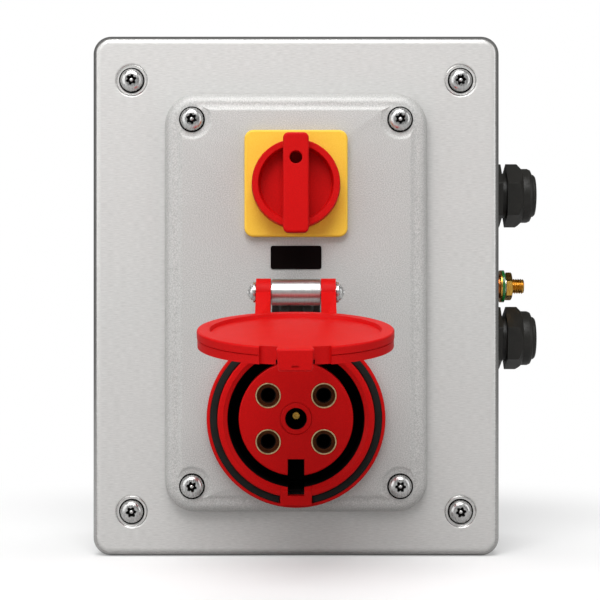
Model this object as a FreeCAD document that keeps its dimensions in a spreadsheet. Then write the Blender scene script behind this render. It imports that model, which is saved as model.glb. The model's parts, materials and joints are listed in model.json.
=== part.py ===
"""Stainless wall enclosure with a rotary switch, a lidded five-pole socket, two glands and an earth stud.

Frame: the origin lies in the back face, at the centre of the four wall holes. +Z is up, the wall
is at Y = 0 and the front looks along -Y, so a depth of d from the wall lies at Y = -d.
"""
import FreeCAD, Part
import os
import re
import Sketcher

SIZES = {
    # Enclosure: pressed cover over a deep back box
    "margin_x": 45.0,
    "margin_z": 32.5,
    "cover_corner": 11.0,
    "cover_bend": 5.4,
    "cover_skirt": 18.0,
    "cover_sheet": 1.5,
    "cover_clearance": 1.0,
    "box_depth": 120.0,
    "box_sheet": 1.5,
    "box_bend": 4.0,
    "flange_width": 12.0,
    "flange_lug": 34.0,
    "gasket_thick": 3.0,
    "wall_inset_x": 35.0,
    "wall_inset_z": 40.0,
    "wall_hole": 4.5,
    # Cover screws and the dimples that they sit in
    "screw_inset_x": 24.0,
    "screw_inset_z": 27.5,
    "dimple_radius": 10.2,
    "dimple_deep": 1.0,
    "dimple_slope": 1.4,
    "screw_radius": 4.0,
    "screw_play": 0.3,
    "head_radius": 7.5,
    "head_height": 4.2,
    "head_round": 3.2,
    "drive_radius": 2.55,
    "drive_lobe": 0.8,
    "drive_deep": 2.4,
    "nut_radius": 6.5,
    "nut_height": 8.0,
    # Raised plate that carries the switch and the socket
    "plate_side": 26.0,
    "top_space": 22.95,
    "label_gap": 5.25,
    "hinge_space": 6.2,
    "socket_gap": 8.0,
    "foot_space": 3.7,
    "plate_corner": 19.0,
    "plate_drop": 4.2,
    "plate_ledge": 10.5,
    "plate_step": 1.5,
    "plate_shoulder": 6.0,
    "plate_sheet": 2.0,
    "step_inset": 8.7,
    "step_corner": 11.0,
    "scallop_radius": 10.5,
    "corner_inset_x": 16.75,
    "corner_inset_z": 16.0,
    "plate_seal": 1.0,
    "seal_inset": 1.2,
    "seal_width": 7.0,
    "window_gap": 7.0,
    "window_inset": 9.5,
    "window_corner": 12.0,
    # Rotary switch
    "face_width": 62.5,
    "face_height": 64.7,
    "face_up": 0.8,
    "face_corner": 5.6,
    "face_thick": 5.0,
    "rotor_gap": 0.8,
    "rotor_radius": 26.8,
    "rotor_wall": 4.4,
    "rotor_high": 12.5,
    "rotor_floor": 4.0,
    "rotor_draft": 0.4,
    "bar_width": 15.4,
    "bar_length": 59.4,
    "bar_corner": 3.4,
    "bar_high": 19.5,
    "bar_lift": 5.0,
    "bar_round": 1.5,
    "padlock_radius": 3.75,
    "padlock_up": 14.9,
    "shaft_radius": 4.0,
    "shaft_play": 0.06,
    "shaft_hole": 5.5,
    "switch_block": 48.0,
    "switch_deep": 46.0,
    "wafer_count": 4,
    "wafer_gap": 1.2,
    "switch_screw_pitch": 36.0,
    "small_screw": 2.0,
    "small_head": 3.6,
    # Bare label
    "label_width": 30.8,
    "label_height": 14.2,
    "label_thick": 0.8,
    "label_corner": 1.4,
    # Socket
    "seat_seal": 1.0,
    "flange_rim": 2.0,
    "flange_thick": 5.0,
    "collar_wall": 6.0,
    "groove_width": 4.7,
    "groove_deep": 3.0,
    "collar_over": 3.5,
    "plug_gap": 6.8,
    "collar_step": 1.8,
    "cup_wall": 3.7,
    "liner_wall": 1.6,
    "key_wall": 1.5,
    "cup_base": 6.0,
    "cup_deep": 40.0,
    "panel_play": 0.5,
    "ring_wall": 6.0,
    "ring_thick": 6.0,
    "insert_wall": 5.06,
    "insert_sink": 1.5,
    "contact_x": 16.8,
    "contact_z": 13.95,
    "contact_radius": 7.6,
    "contact_rim": 0.55,
    "contact_sink": 5.0,
    "contact_bore": 4.1,
    "contact_lead": 0.6,
    "contact_body": 6.4,
    "contact_deep": 34.0,
    "contact_tail": 12.0,
    "pilot_recess": 6.5,
    "pilot_ring": 9.7,
    "pilot_radius": 2.6,
    "pilot_round": 0.5,
    "pilot_tip": 26.0,
    "key_width": 9.9,
    "key_cut": 10.1,
    "key_reach": 5.0,
    "key_deep": 36.0,
    "boss_width": 19.0,
    "boss_over": 0.2,
    "boss_corner": 1.4,
    "collar_edge": 0.8,
    "seal_stand": 0.8,
    "insert_edge": 0.6,
    "seat_play": 0.02,
    "fit_play": 0.1,
    # Hinge and lid
    "hinge_lift": 24.6,
    "knuckle_radius": 7.7,
    "knuckle_length": 29.0,
    "hinge_gap": 0.3,
    "pin_radius": 4.0,
    "pin_play": 0.06,
    "bracket_sheet": 3.0,
    "bracket_down": 14.0,
    "bracket_up": 8.0,
    "rivet_head": 1.6,
    "cap_radius": 6.2,
    "dome_foot": 5.45,
    "dome_waist": 5.2,
    "dome_brow": 4.0,
    "dome_crown": 1.9,
    "dome_waist_rise": 1.3,
    "dome_brow_rise": 2.55,
    "cap_flange": 1.6,
    "cap_dome": 3.2,
    "lug_width": 8.7,
    "lug_radius": 8.2,
    "lug_root": 8.5,
    "lid_open_angle": 80.5,
    "lid_rim": 2.0,
    "lid_gap": 1.5,
    "lid_thick": 9.5,
    "lid_round": 1.2,
    "lid_split": 0.3,
    "dish_rim": 7.0,
    "dish_deep": 2.0,
    "dish_run": 0.8,
    "lid_web": 2.2,
    "lid_play": 0.6,
    "notch_deep": 2.0,
    "notch_half_angle": 20.4,
    "tab_width": 19.6,
    "tab_foot": 17.5,
    "tab_below": 1.9,
    "tab_round": 1.2,
    "tab_proud": 0.4,
    "tab_reach": 6.0,
    "tab_slot": 3.8,
    "tab_slot_high": 1.2,
    "tab_slot_rise": 2.6,
    "tab_slot_deep": 0.8,
    # Cable glands and earth stud on the right side
    "side_depth": 56.0,
    "gland_gap_up": 27.8,
    "gland_gap_down": 2.52,
    "gland_thread": 16.0,
    "gland_hole_play": 0.3,
    "gland_land": 0.4,
    "gland_washer": 2.0,
    "gland_hex": 8.5,
    "gland_neck": 3.0,
    "gland_neck_wall": 4.4,
    "gland_neck_short": 2.0,
    "gland_hex_bevel": 5.0,
    "gland_cap_hex": 10.4,
    "gland_dome": 6.4,
    "gland_dome_wall": 3.0,
    "gland_dome_round": 2.6,
    "gland_dome_edge": 0.8,
    "gland_end_wall": 1.5,
    "gland_lip": 2.4,
    "gland_lip_wall": 3.5,
    "gland_lip_round": 0.9,
    "gland_lip_foot": 0.2,
    "gland_bore": 10.2,
    "gland_cable": 7.0,
    "gland_seal_back": 8.0,
    "gland_seal_sink": 1.6,
    "gland_washer_wall": 3.5,
    "gland_inside": 14.0,
    "locknut_over": 4.0,
    "locknut_thick": 6.0,
    "stud_z": 6.4,
    "stud_radius": 5.0,
    "stud_free": 7.9,
    "stud_relief": 0.8,
    "stud_relief_deep": 0.6,
    "stud_chamfer": 0.8,
    "stud_inside": 14.0,
    "stud_flats": 16.0,
    "stud_nut": 4.0,
    "nut_land": 0.3,
    "nut_reach": 3.0,
    "nut_bevel": 1.4,
    "stud_spacer": 10.1,
    "spacer_radius": 8.0,
    "stud_washer_radius": 10.5,
    "brass_washer": 1.1,
    "green_washer": 1.8,
    "spring_washer": 0.9,
    "spring_radius": 7.4,
}

# Sizes that follow from others. The socket is laid out from its contacts outwards, the plate from
# what it carries, and the cover and the box from the plate.
DERIVED = {
    # Socket, as radii from its axis
    "insert_radius": "sqrt(contact_x ^ 2 + contact_z ^ 2) + contact_radius + insert_wall",
    "collar_bore": "insert_radius + plug_gap",
    "cup_radius": "collar_bore + cup_wall",
    "liner_radius": "collar_bore + liner_wall",
    "cup_key": "cup_radius - key_wall",
    "ring_radius": "cup_radius + ring_wall",
    "groove_inner": "collar_bore + collar_wall",
    "groove_outer": "groove_inner + groove_width",
    "socket_flange": "groove_outer + flange_rim",
    "key_inner": "insert_radius - key_cut",
    "key_outer": "collar_bore + key_reach",
    "boss_outer": "groove_outer + boss_over",
    # Lid, as radii from its axis
    "lid_radius": "groove_outer + lid_rim",
    "lid_dish": "lid_radius - dish_rim",
    "notch_radius": "lid_radius - notch_deep",
    "tab_outer": "lid_radius + tab_reach",
    "lid_reach": "socket_flange + bracket_down + socket_gap",
    # Plate and cover, across and upwards
    "plate_width": "2 * (socket_flange + plate_side)",
    "plate_height": "top_space + face_height + label_gap + label_height + hinge_space + bracket_up"
                    " + lid_reach + socket_flange + foot_space",
    "cover_width": "plate_width + 2 * margin_x",
    "cover_height": "plate_height + 2 * margin_z",
    "plate_pitch_x": "plate_width - 2 * corner_inset_x",
    "plate_pitch_z": "plate_height - 2 * corner_inset_z",
    "cover_pitch_x": "cover_width - 2 * screw_inset_x",
    "cover_pitch_z": "cover_height - 2 * screw_inset_z",
    "wall_pitch_x": "cover_width - 2 * wall_inset_x",
    "wall_pitch_z": "cover_height - 2 * wall_inset_z",
    "window_width": "2 * (cup_radius + window_gap)",
    "window_height": "plate_height - 2 * window_inset",
    "box_half": "cover_width / 2 - cover_sheet - cover_clearance",
    "box_width": "2 * box_half",
    "box_height": "cover_height - 2 * (cover_sheet + cover_clearance)",
    "box_corner": "cover_corner - cover_sheet - cover_clearance",
    # Heights of the parts' centres over the origin
    "socket_z": "foot_space + socket_flange - plate_drop - plate_height / 2",
    "hinge_z": "socket_z + lid_reach",
    "label_z": "hinge_z + bracket_up + hinge_space + label_height / 2",
    "switch_z": "label_z + label_height / 2 + label_gap + face_height / 2 - face_up",
    # Depths from the wall
    "cover_back": "box_depth - cover_sheet",
    "box_front": "cover_back - gasket_thick",
    "plate_rim": "box_depth + plate_seal",
    "plate_top": "box_depth + plate_ledge",
    "plate_rear": "plate_top - plate_sheet",
    "plate_face": "plate_top + plate_step",
    "rotor_base": "plate_face + face_thick + rotor_gap",
    "flange_seat": "plate_face + seat_seal",
    "flange_face": "flange_seat + flange_thick",
    "groove_floor": "flange_face - groove_deep",
    "collar_face": "flange_face + collar_over",
    "liner_face": "collar_face - 3 * collar_edge",
    "key_floor": "collar_face - key_deep",
    "insert_face": "collar_face - insert_sink",
    "insert_floor": "insert_face - contact_deep",
    "cup_rear": "plate_face - cup_deep",
    "cup_floor": "cup_rear + cup_base",
    "hinge_depth": "plate_face + hinge_lift",
    "lid_drop": "hinge_depth - flange_face - lid_gap - lid_thick",
    # Small screws of the hinge and the switch
    "hinge_screw_x": "knuckle_length / 4",
    "hinge_screw_down": "bracket_down - small_head - plate_seal",
    "small_reach": "3 * small_head",
    # Glands and earth stud, outwards from the box's side
    "gland_neck_radius": "gland_bore + gland_neck_wall",
    "gland_dome_radius": "gland_neck_radius + gland_dome_wall",
    "gland_lip_radius": "gland_bore + gland_lip_wall",
    "gland_flats": "2 * (gland_dome_radius + gland_land)",
    "locknut_flats": "gland_flats + locknut_over",
    "gland_upper_z": "stud_z + stud_washer_radius + gland_gap_up + gland_flats / sqrt(3)",
    "gland_lower_z": "stud_z - stud_washer_radius - gland_gap_down - gland_flats / sqrt(3)",
    "gland_shoulder": "gland_washer + gland_hex",
    "gland_cap_foot": "gland_shoulder + gland_neck",
    "gland_cap_hexed": "gland_cap_foot + gland_cap_hex",
    "gland_cap_domed": "gland_cap_hexed + gland_dome",
    "gland_tip": "gland_cap_domed + gland_lip",
    "stud_stack": "stud_spacer + brass_washer + green_washer + spring_washer + stud_nut",
    "stud_reach": "stud_stack + stud_free",
}

doc = FreeCAD.newDocument("WallSocket")
sheet = doc.addObject("Spreadsheet::Sheet", "Sizes")
nodes = []


def fill_sheet():
    """Write every driving size in the sheet, with its name as the alias."""
    for row, (name, value) in enumerate(SIZES.items(), start=1):
        sheet.set(f"A{row}", name)
        sheet.set(f"B{row}", str(value))
        sheet.setAlias(f"B{row}", name)
    doc.recompute()


def formula(text):
    """Spell out the derived sizes in a formula and point each size name at its cell."""

    def spell(found):
        name = found.group(0)
        return f"({formula(DERIVED[name])})" if name in DERIVED else f"Sizes.{name}"

    return re.sub(r"\b[a-z]+(?:_[a-z]+)+\b", spell, str(text))


def value(text):
    """Give a formula's number."""
    return float(sheet.evalExpression(formula(text)))


class Drawing:
    """A sketch in one body whose every point is tied to the sheet."""

    def __init__(self, body, role="XY_Plane", lift="0"):
        """Attach the sketch to a plane of its body, lifted along the plane's normal."""
        self.sketch = body.newObject("Sketcher::SketchObject", "Outline")
        plane = [item for item in body.Origin.OriginFeatures if item.Role == role][0]
        self.sketch.AttachmentSupport = [(plane, "")]
        self.sketch.MapMode = "FlatFace"
        self.sketch.setExpression("AttachmentOffset.Base.z", formula(lift))

    def fix(self, curve, point, x, y):
        """Tie one point of a curve to the sheet."""
        across = self.sketch.addConstraint(
            Sketcher.Constraint("DistanceX", -1, 1, curve, point, value(x)))
        self.sketch.setExpression(f"Constraints[{across}]", formula(x))
        upward = self.sketch.addConstraint(
            Sketcher.Constraint("DistanceY", -1, 1, curve, point, value(y)))
        self.sketch.setExpression(f"Constraints[{upward}]", formula(y))

    def size_radius(self, curve, radius):
        """Tie the radius of a circle or arc to the sheet."""
        index = self.sketch.addConstraint(Sketcher.Constraint("Radius", curve, value(radius)))
        self.sketch.setExpression(f"Constraints[{index}]", formula(radius))

    def circle(self, x, y, radius):
        """Add a circle."""
        centre = FreeCAD.Vector(value(x), value(y), 0)
        curve = self.sketch.addGeometry(
            Part.Circle(centre, FreeCAD.Vector(0, 0, 1), value(radius)), False)
        self.fix(curve, 3, x, y)
        self.size_radius(curve, radius)
        return self

    def polygon(self, points):
        """Add a closed outline of straight lines through the points."""
        corners = [FreeCAD.Vector(value(x), value(y), 0) for x, y in points]
        following = corners[1:] + corners[:1]
        lines = [self.sketch.addGeometry(Part.LineSegment(start, end), False)
                 for start, end in zip(corners, following)]
        for index, line in enumerate(lines):
            after = lines[(index + 1) % len(lines)]
            self.sketch.addConstraint(Sketcher.Constraint("Coincident", line, 2, after, 1))
        for line, (x, y) in zip(lines, points):
            self.fix(line, 1, x, y)
        return self

    def rectangle(self, x, y, width, height):
        """Add a rectangle round a centre."""
        left, right = f"({x}) - ({width}) / 2", f"({x}) + ({width}) / 2"
        low, high = f"({y}) - ({height}) / 2", f"({y}) + ({height}) / 2"
        return self.polygon([(left, low), (right, low), (right, high), (left, high)])

    def rounded(self, x, y, width, height, radius):
        """Add a rectangle with round corners round a centre."""
        x, y, radius = f"({x})", f"({y})", f"({radius})"
        half_x, half_y = f"({width}) / 2", f"({height}) / 2"
        left, right = f"{x} - {half_x}", f"{x} + {half_x}"
        low, high = f"{y} - {half_y}", f"{y} + {half_y}"
        ends = [
            ((f"{left} + {radius}", low), (f"{right} - {radius}", low)),
            ((right, f"{low} + {radius}"), (right, f"{high} - {radius}")),
            ((f"{right} - {radius}", high), (f"{left} + {radius}", high)),
            ((left, f"{high} - {radius}"), (left, f"{low} + {radius}")),
        ]
        lines = []
        for start, end in ends:
            points = [FreeCAD.Vector(value(a), value(b), 0) for a, b in (start, end)]
            line = self.sketch.addGeometry(Part.LineSegment(points[0], points[1]), False)
            self.fix(line, 1, start[0], start[1])
            self.fix(line, 2, end[0], end[1])
            lines.append(line)
        size = value(radius)
        middle = FreeCAD.Vector(value(x), value(y), 0)
        for index, line in enumerate(lines):
            after = lines[(index + 1) % 4]
            quarter = 270 + 90 * index
            sign_x = 1 if index in (0, 1) else -1
            sign_y = 1 if index in (1, 2) else -1
            corner = FreeCAD.Vector(sign_x * (value(half_x) - size), sign_y * (value(half_y) - size), 0)
            ring = Part.Circle(middle + corner, FreeCAD.Vector(0, 0, 1), size)
            arc = self.sketch.addGeometry(
                Part.ArcOfCircle(ring, quarter * DEGREE, (quarter + 90) * DEGREE), False)
            self.sketch.addConstraint(Sketcher.Constraint("Coincident", line, 2, arc, 1))
            self.sketch.addConstraint(Sketcher.Constraint("Coincident", arc, 2, after, 1))
            self.size_radius(arc, radius)
        return self

    def hexagon(self, flats):
        """Add a hexagon round the origin, by its width across flats."""
        corners = [(f"({flats}) / 2 / cos(30) * cos({angle})", f"({flats}) / 2 / cos(30) * sin({angle})")
                   for angle in range(10, 370, 60)]
        return self.polygon(corners)

    def sector(self, x, y, inner, outer, half_angle):
        """Add a piece of a ring that opens towards -y, half_angle to each side."""
        arcs = []
        for radius in (inner, outer):
            start, end = value(f"270 - ({half_angle})"), value(f"270 + ({half_angle})")
            ring = Part.Circle(FreeCAD.Vector(value(x), value(y), 0),
                               FreeCAD.Vector(0, 0, 1), value(radius))
            arc = Part.ArcOfCircle(ring, start * DEGREE, end * DEGREE)
            curve = self.sketch.addGeometry(arc, False)
            self.fix(curve, 3, x, y)
            self.size_radius(curve, radius)
            for point, sign in ((1, "-"), (2, "+")):
                index = self.sketch.addConstraint(Sketcher.Constraint(
                    "DistanceX", -1, 1, curve, point,
                    value(f"{x} {sign} ({radius}) * sin({half_angle})")))
                self.sketch.setExpression(
                    f"Constraints[{index}]", formula(f"{x} {sign} ({radius}) * sin({half_angle})"))
            arcs.append((curve, arc))
        (near, near_arc), (far, far_arc) = arcs
        for point in (1, 2):
            ends = [near_arc.StartPoint, far_arc.StartPoint] if point == 1 else \
                   [near_arc.EndPoint, far_arc.EndPoint]
            side = self.sketch.addGeometry(Part.LineSegment(ends[0], ends[1]), False)
            self.sketch.addConstraint(Sketcher.Constraint("Coincident", side, 1, near, point))
            self.sketch.addConstraint(Sketcher.Constraint("Coincident", side, 2, far, point))
        return self


DEGREE = 3.141592653589793 / 180.0
X_AXIS = FreeCAD.Vector(1, 0, 0)
Y_AXIS = FreeCAD.Vector(0, 1, 0)


class Piece:
    """One node: a body in its own frame, whose local z runs out of the wall or along +X."""

    def __init__(self, label, side=False, x="0", z="0", depth="0", tilt="0"):
        """Make the body and place it by formulas."""
        self.body = doc.addObject("PartDesign::Body", "Body")
        self.body.Label = label
        nodes.append(self.body)
        turn = FreeCAD.Rotation(Y_AXIS, 90) if side else FreeCAD.Rotation(X_AXIS, 90 - value(tilt))
        self.body.Placement = FreeCAD.Placement(FreeCAD.Vector(), turn)
        for axis, place in (("x", x), ("y", f"-({depth})"), ("z", z)):
            self.body.setExpression(f"Placement.Base.{axis}", formula(place))

    def draw(self, lift="0", role="XY_Plane"):
        """Start a sketch in this body."""
        return Drawing(self.body, role, lift)

    def finish(self, feature, cuts=False):
        """Recompute one feature and see that it did what it says."""
        doc.recompute()
        if not feature.isValid() or feature.Shape.isNull():
            raise ValueError(f"{self.body.Label}: {feature.Name} failed")
        base = feature.BaseFeature
        if cuts and base is not None and feature.Shape.Volume >= base.Shape.Volume - 1e-6:
            raise ValueError(f"{self.body.Label}: {feature.Name} cuts nothing")
        return feature

    def pad(self, drawing, length):
        """Add material along the sketch's normal."""
        feature = self.body.newObject("PartDesign::Pad", "Pad")
        feature.Profile = drawing.sketch
        feature.setExpression("Length", formula(length))
        return self.finish(feature)

    def block(self, drawing_from, low, high):
        """Add material between two heights of the local z axis."""
        drawing = self.draw(low)
        drawing_from(drawing)
        return self.pad(drawing, f"({high}) - ({low})")

    def cut(self, drawing_from, low, high):
        """Cut material between two heights of the local z axis."""
        drawing = self.draw(high)
        drawing_from(drawing)
        return self.pocket(drawing, f"({high}) - ({low})")

    def pocket(self, drawing, length, cuts=True):
        """Cut material against the sketch's normal."""
        feature = self.body.newObject("PartDesign::Pocket", "Pocket")
        feature.Profile = drawing.sketch
        feature.setExpression("Length", formula(length))
        return self.finish(feature, cuts)

    def pocket_up(self, drawing, length):
        """Cut material along the sketch's normal."""
        feature = self.body.newObject("PartDesign::Pocket", "Pocket")
        feature.Profile = drawing.sketch
        feature.Reversed = True
        feature.setExpression("Length", formula(length))
        return self.finish(feature, cuts=True)

    def turned(self, points):
        """Revolve a half section of (radius, height) points about the local z axis."""
        drawing = self.draw("0", "XZ_Plane").polygon(points)
        feature = self.body.newObject("PartDesign::Revolution", "Revolution")
        feature.Profile = drawing.sketch
        feature.ReferenceAxis = (drawing.sketch, ["V_Axis"])
        feature.Angle = 360
        return self.finish(feature)

    def groove(self, points):
        """Cut a revolved half section away."""
        drawing = self.draw("0", "XZ_Plane").polygon(points)
        feature = self.body.newObject("PartDesign::Groove", "Groove")
        feature.Profile = drawing.sketch
        feature.ReferenceAxis = (drawing.sketch, ["V_Axis"])
        feature.Angle = 360
        return self.finish(feature, cuts=True)

    def dress(self, kind, size, pick):
        """Fillet or chamfer the edges of the last feature that pick accepts."""
        base = self.body.Tip
        names = [f"Edge{index + 1}" for index, edge in enumerate(base.Shape.Edges) if pick(edge)]
        if not names:
            raise ValueError(f"{self.body.Label}: no edge to {kind}")
        feature = self.body.newObject(f"PartDesign::{kind}", kind)
        feature.Base = (base, names)
        feature.setExpression("Radius" if kind == "Fillet" else "Size", formula(size))
        return self.finish(feature)

    def axis(self, role):
        """Give one axis or plane of the body's own origin."""
        return [item for item in self.body.Origin.OriginFeatures if item.Role == role][0]

    def grid(self, features, pitch_x, pitch_y):
        """Repeat features, or the whole piece if none are named, at a rectangle's corners."""
        pattern = self.body.newObject("PartDesign::LinearPattern", "Grid")
        if features:
            pattern.Originals = features
        else:
            pattern.TransformMode = "Whole shape"
        pattern.Direction = (self.axis("X_Axis"), [""])
        pattern.Direction2 = (self.axis("Y_Axis"), [""])
        pattern.setExpression("Length", formula(pitch_x))
        pattern.setExpression("Length2", formula(pitch_y))
        pattern.Occurrences = 2
        pattern.Occurrences2 = 2
        self.body.Tip = pattern
        return self.finish(pattern)

    def around(self, features, count):
        """Repeat features round the local z axis."""
        pattern = self.body.newObject("PartDesign::PolarPattern", "Around")
        pattern.Originals = features
        pattern.Axis = (self.axis("Z_Axis"), [""])
        pattern.Angle = 360
        pattern.Occurrences = count
        self.body.Tip = pattern
        return self.finish(pattern)

    def row(self, features, role, pitch, count):
        """Repeat features along one axis, the given pitch apart."""
        pattern = self.body.newObject("PartDesign::LinearPattern", "Row")
        pattern.Originals = features
        pattern.Direction = (self.axis(role), [""])
        pattern.setExpression("Length", formula(f"({pitch}) * {count - 1}"))
        pattern.Occurrences = count
        self.body.Tip = pattern
        return self.finish(pattern)


def upright(edge):
    """Tell whether an edge is straight and runs along the local z axis."""
    if not isinstance(edge.Curve, Part.Line):
        return False
    return abs(edge.Curve.Direction.z) > 0.999


def level(height):
    """Make a test for edges that lie at one height of the local z axis."""
    target = value(height)
    return lambda edge: all(abs(vertex.Z - target) < 1e-3 for vertex in edge.Vertexes) and \
        edge.BoundBox.ZLength < 1e-3


def hex_ring(piece, flats, hole, low, high):
    """Pad a hexagon with a round hole."""

    def outline(drawing):
        drawing.hexagon(flats)
        drawing.circle("0", "0", hole)

    piece.block(outline, low, high)


def round_ring(piece, radius, hole, low, high):
    """Pad a flat ring."""

    def outline(drawing):
        drawing.circle("0", "0", radius)
        drawing.circle("0", "0", hole)

    piece.block(outline, low, high)


def build_back_box():
    """Deep drawn-and-welded box with an inward flange, wall holes and side entries."""
    piece = Piece("back_box")
    piece.block(lambda d: d.rounded("0", "0", "box_width", "box_height", "box_corner"), "0", "box_front")
    inner_width = "box_width - 2 * box_sheet"
    inner_height = "box_height - 2 * box_sheet"
    piece.cut(lambda d: d.rounded("0", "0", inner_width, inner_height, "box_corner - box_sheet"),
              "box_sheet", "box_front")
    piece.dress("Fillet", "box_bend - box_sheet", level("box_sheet"))
    piece.dress("Fillet", "box_bend", level("0"))

    def frame(drawing):
        drawing.rounded("0", "0", "box_width - box_sheet", "box_height - box_sheet",
                        "box_corner - box_sheet / 2")
        drawing.rounded("0", "0", f"{inner_width} - 2 * flange_width",
                        f"{inner_height} - 2 * flange_width", "box_bend")

    flange_low = "box_front - box_sheet"
    piece.block(frame, flange_low, "box_front")
    lug = piece.block(
        lambda d: d.rounded(f"({inner_width} - flange_lug) / -2", f"({inner_height} - flange_lug) / -2",
                            "flange_lug", "flange_lug", "box_bend"), flange_low, "box_front")
    hole = piece.cut(
        lambda d: d.circle("cover_pitch_x / -2", "cover_pitch_z / -2", "screw_radius + screw_play"),
        flange_low, "box_front")
    piece.grid([lug], f"{inner_width} - flange_lug", f"{inner_height} - flange_lug")
    piece.grid([hole], "cover_pitch_x", "cover_pitch_z")
    wall = piece.cut(lambda d: d.circle("wall_pitch_x / -2", "wall_pitch_z / -2", "wall_hole"),
                     "0", "box_sheet")
    piece.grid([wall], "wall_pitch_x", "wall_pitch_z")
    entries = piece.draw("box_half", "YZ_Plane")
    entries.circle("gland_upper_z", "side_depth", "gland_thread + gland_hole_play")
    entries.circle("gland_lower_z", "side_depth", "gland_thread + gland_hole_play")
    entries.circle("stud_z", "side_depth", "stud_radius + gland_hole_play")
    piece.pocket(entries, "box_sheet")


def build_cover():
    """Pressed cover with a bent skirt, four dimples and a window behind the raised plate."""
    piece = Piece("front_cover")
    low = "(box_depth - cover_skirt)"
    piece.block(lambda d: d.rounded("0", "0", "cover_width", "cover_height", "cover_corner"),
                low, "box_depth")
    inner_width, inner_height = "cover_width - 2 * cover_sheet", "cover_height - 2 * cover_sheet"
    piece.cut(lambda d: d.rounded("0", "0", inner_width, inner_height, "cover_corner - cover_sheet"),
              low, "cover_back")
    piece.dress("Fillet", "cover_bend - cover_sheet", level("cover_back"))
    piece.dress("Fillet", "cover_bend", level("box_depth"))
    spot = ("cover_pitch_x / -2", "cover_pitch_z / -2")
    boss = piece.block(lambda d: d.circle(*spot, "dimple_radius + cover_sheet / 2"),
                       "cover_back - dimple_deep", "cover_back")
    dish = piece.cut(lambda d: d.circle(*spot, "dimple_radius"), "box_depth - dimple_deep", "box_depth")
    dish.setExpression("TaperAngle", formula("-atan(dimple_slope / dimple_deep)"))
    piece.finish(dish, cuts=True)
    hole = piece.cut(lambda d: d.circle(*spot, "screw_radius + screw_play"),
                     "cover_back - dimple_deep", "box_depth")
    piece.grid([boss, dish, hole], "cover_pitch_x", "cover_pitch_z")
    piece.cut(lambda d: d.rounded("0", "-plate_drop", "window_width", "window_height", "window_corner"),
              "cover_back", "box_depth")
    corner = ("plate_pitch_x / -2", "-plate_drop - plate_pitch_z / 2")
    through = piece.cut(lambda d: d.circle(*corner, "screw_radius + screw_play"), "cover_back", "box_depth")
    piece.grid([through], "plate_pitch_x", "plate_pitch_z")


def build_cover_gasket():
    """Flat seal between the box flange and the cover."""
    piece = Piece("cover_gasket")

    def ring(drawing):
        drawing.rounded("0", "0", "cover_width - 2 * cover_bend", "cover_height - 2 * cover_bend",
                        "cover_corner - cover_bend")
        drawing.rounded("0", "0", "box_width - 2 * flange_width", "box_height - 2 * flange_width",
                        "box_bend")

    piece.block(ring, "box_front", "cover_back")
    relief = piece.draw("cover_back")
    relief.circle("cover_pitch_x / -2", "cover_pitch_z / -2", "dimple_radius + cover_sheet")
    relief = piece.pocket(relief, "cover_back - box_front", cuts=False)
    piece.grid([relief], "cover_pitch_x", "cover_pitch_z")


def corner_piece(label, z, depth, pitch_x, pitch_z):
    """Start a piece at the lower left corner of a rectangle centred at height z."""
    return Piece(label, x=f"-({pitch_x}) / 2", z=f"{z} - ({pitch_z}) / 2", depth=depth)


def screws(label, z, seat, shank, pitch_x, pitch_z):
    """Four button-head screws with a six-lobe drive, seated at one depth."""
    piece = corner_piece(label, z, seat, pitch_x, pitch_z)
    piece.block(lambda d: d.circle("0", "0", "screw_radius"), f"-({shank})", "0")
    piece.block(lambda d: d.circle("0", "0", "head_radius"), "0", "head_height")
    piece.dress("Fillet", "head_round", level("head_height"))
    floor = "head_height - drive_deep"
    piece.cut(lambda d: d.circle("0", "0", "drive_radius"), floor, "head_height")
    lobe = piece.cut(lambda d: d.circle("drive_radius", "0", "drive_lobe"), floor, "head_height")
    piece.around([lobe], 6)
    piece.grid([], pitch_x, pitch_z)


def tubes(label, z, low, high, pitch_x, pitch_z):
    """Four round tubes with the screws' clearance, between two depths."""
    piece = corner_piece(label, z, "0", pitch_x, pitch_z)
    round_ring(piece, "nut_radius", "screw_radius + fit_play", low, high)
    piece.grid([], pitch_x, pitch_z)


def build_cover_fixings():
    """Screws in the dimples and the clinch nuts behind the box flange."""
    screws("cover_screws", "0", "box_depth - dimple_deep", "cover_sheet + gasket_thick + nut_height",
           "cover_pitch_x", "cover_pitch_z")
    rear = "box_front - box_sheet"
    tubes("cover_nuts", "0", f"{rear} - nut_height", rear, "cover_pitch_x", "cover_pitch_z")


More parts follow.
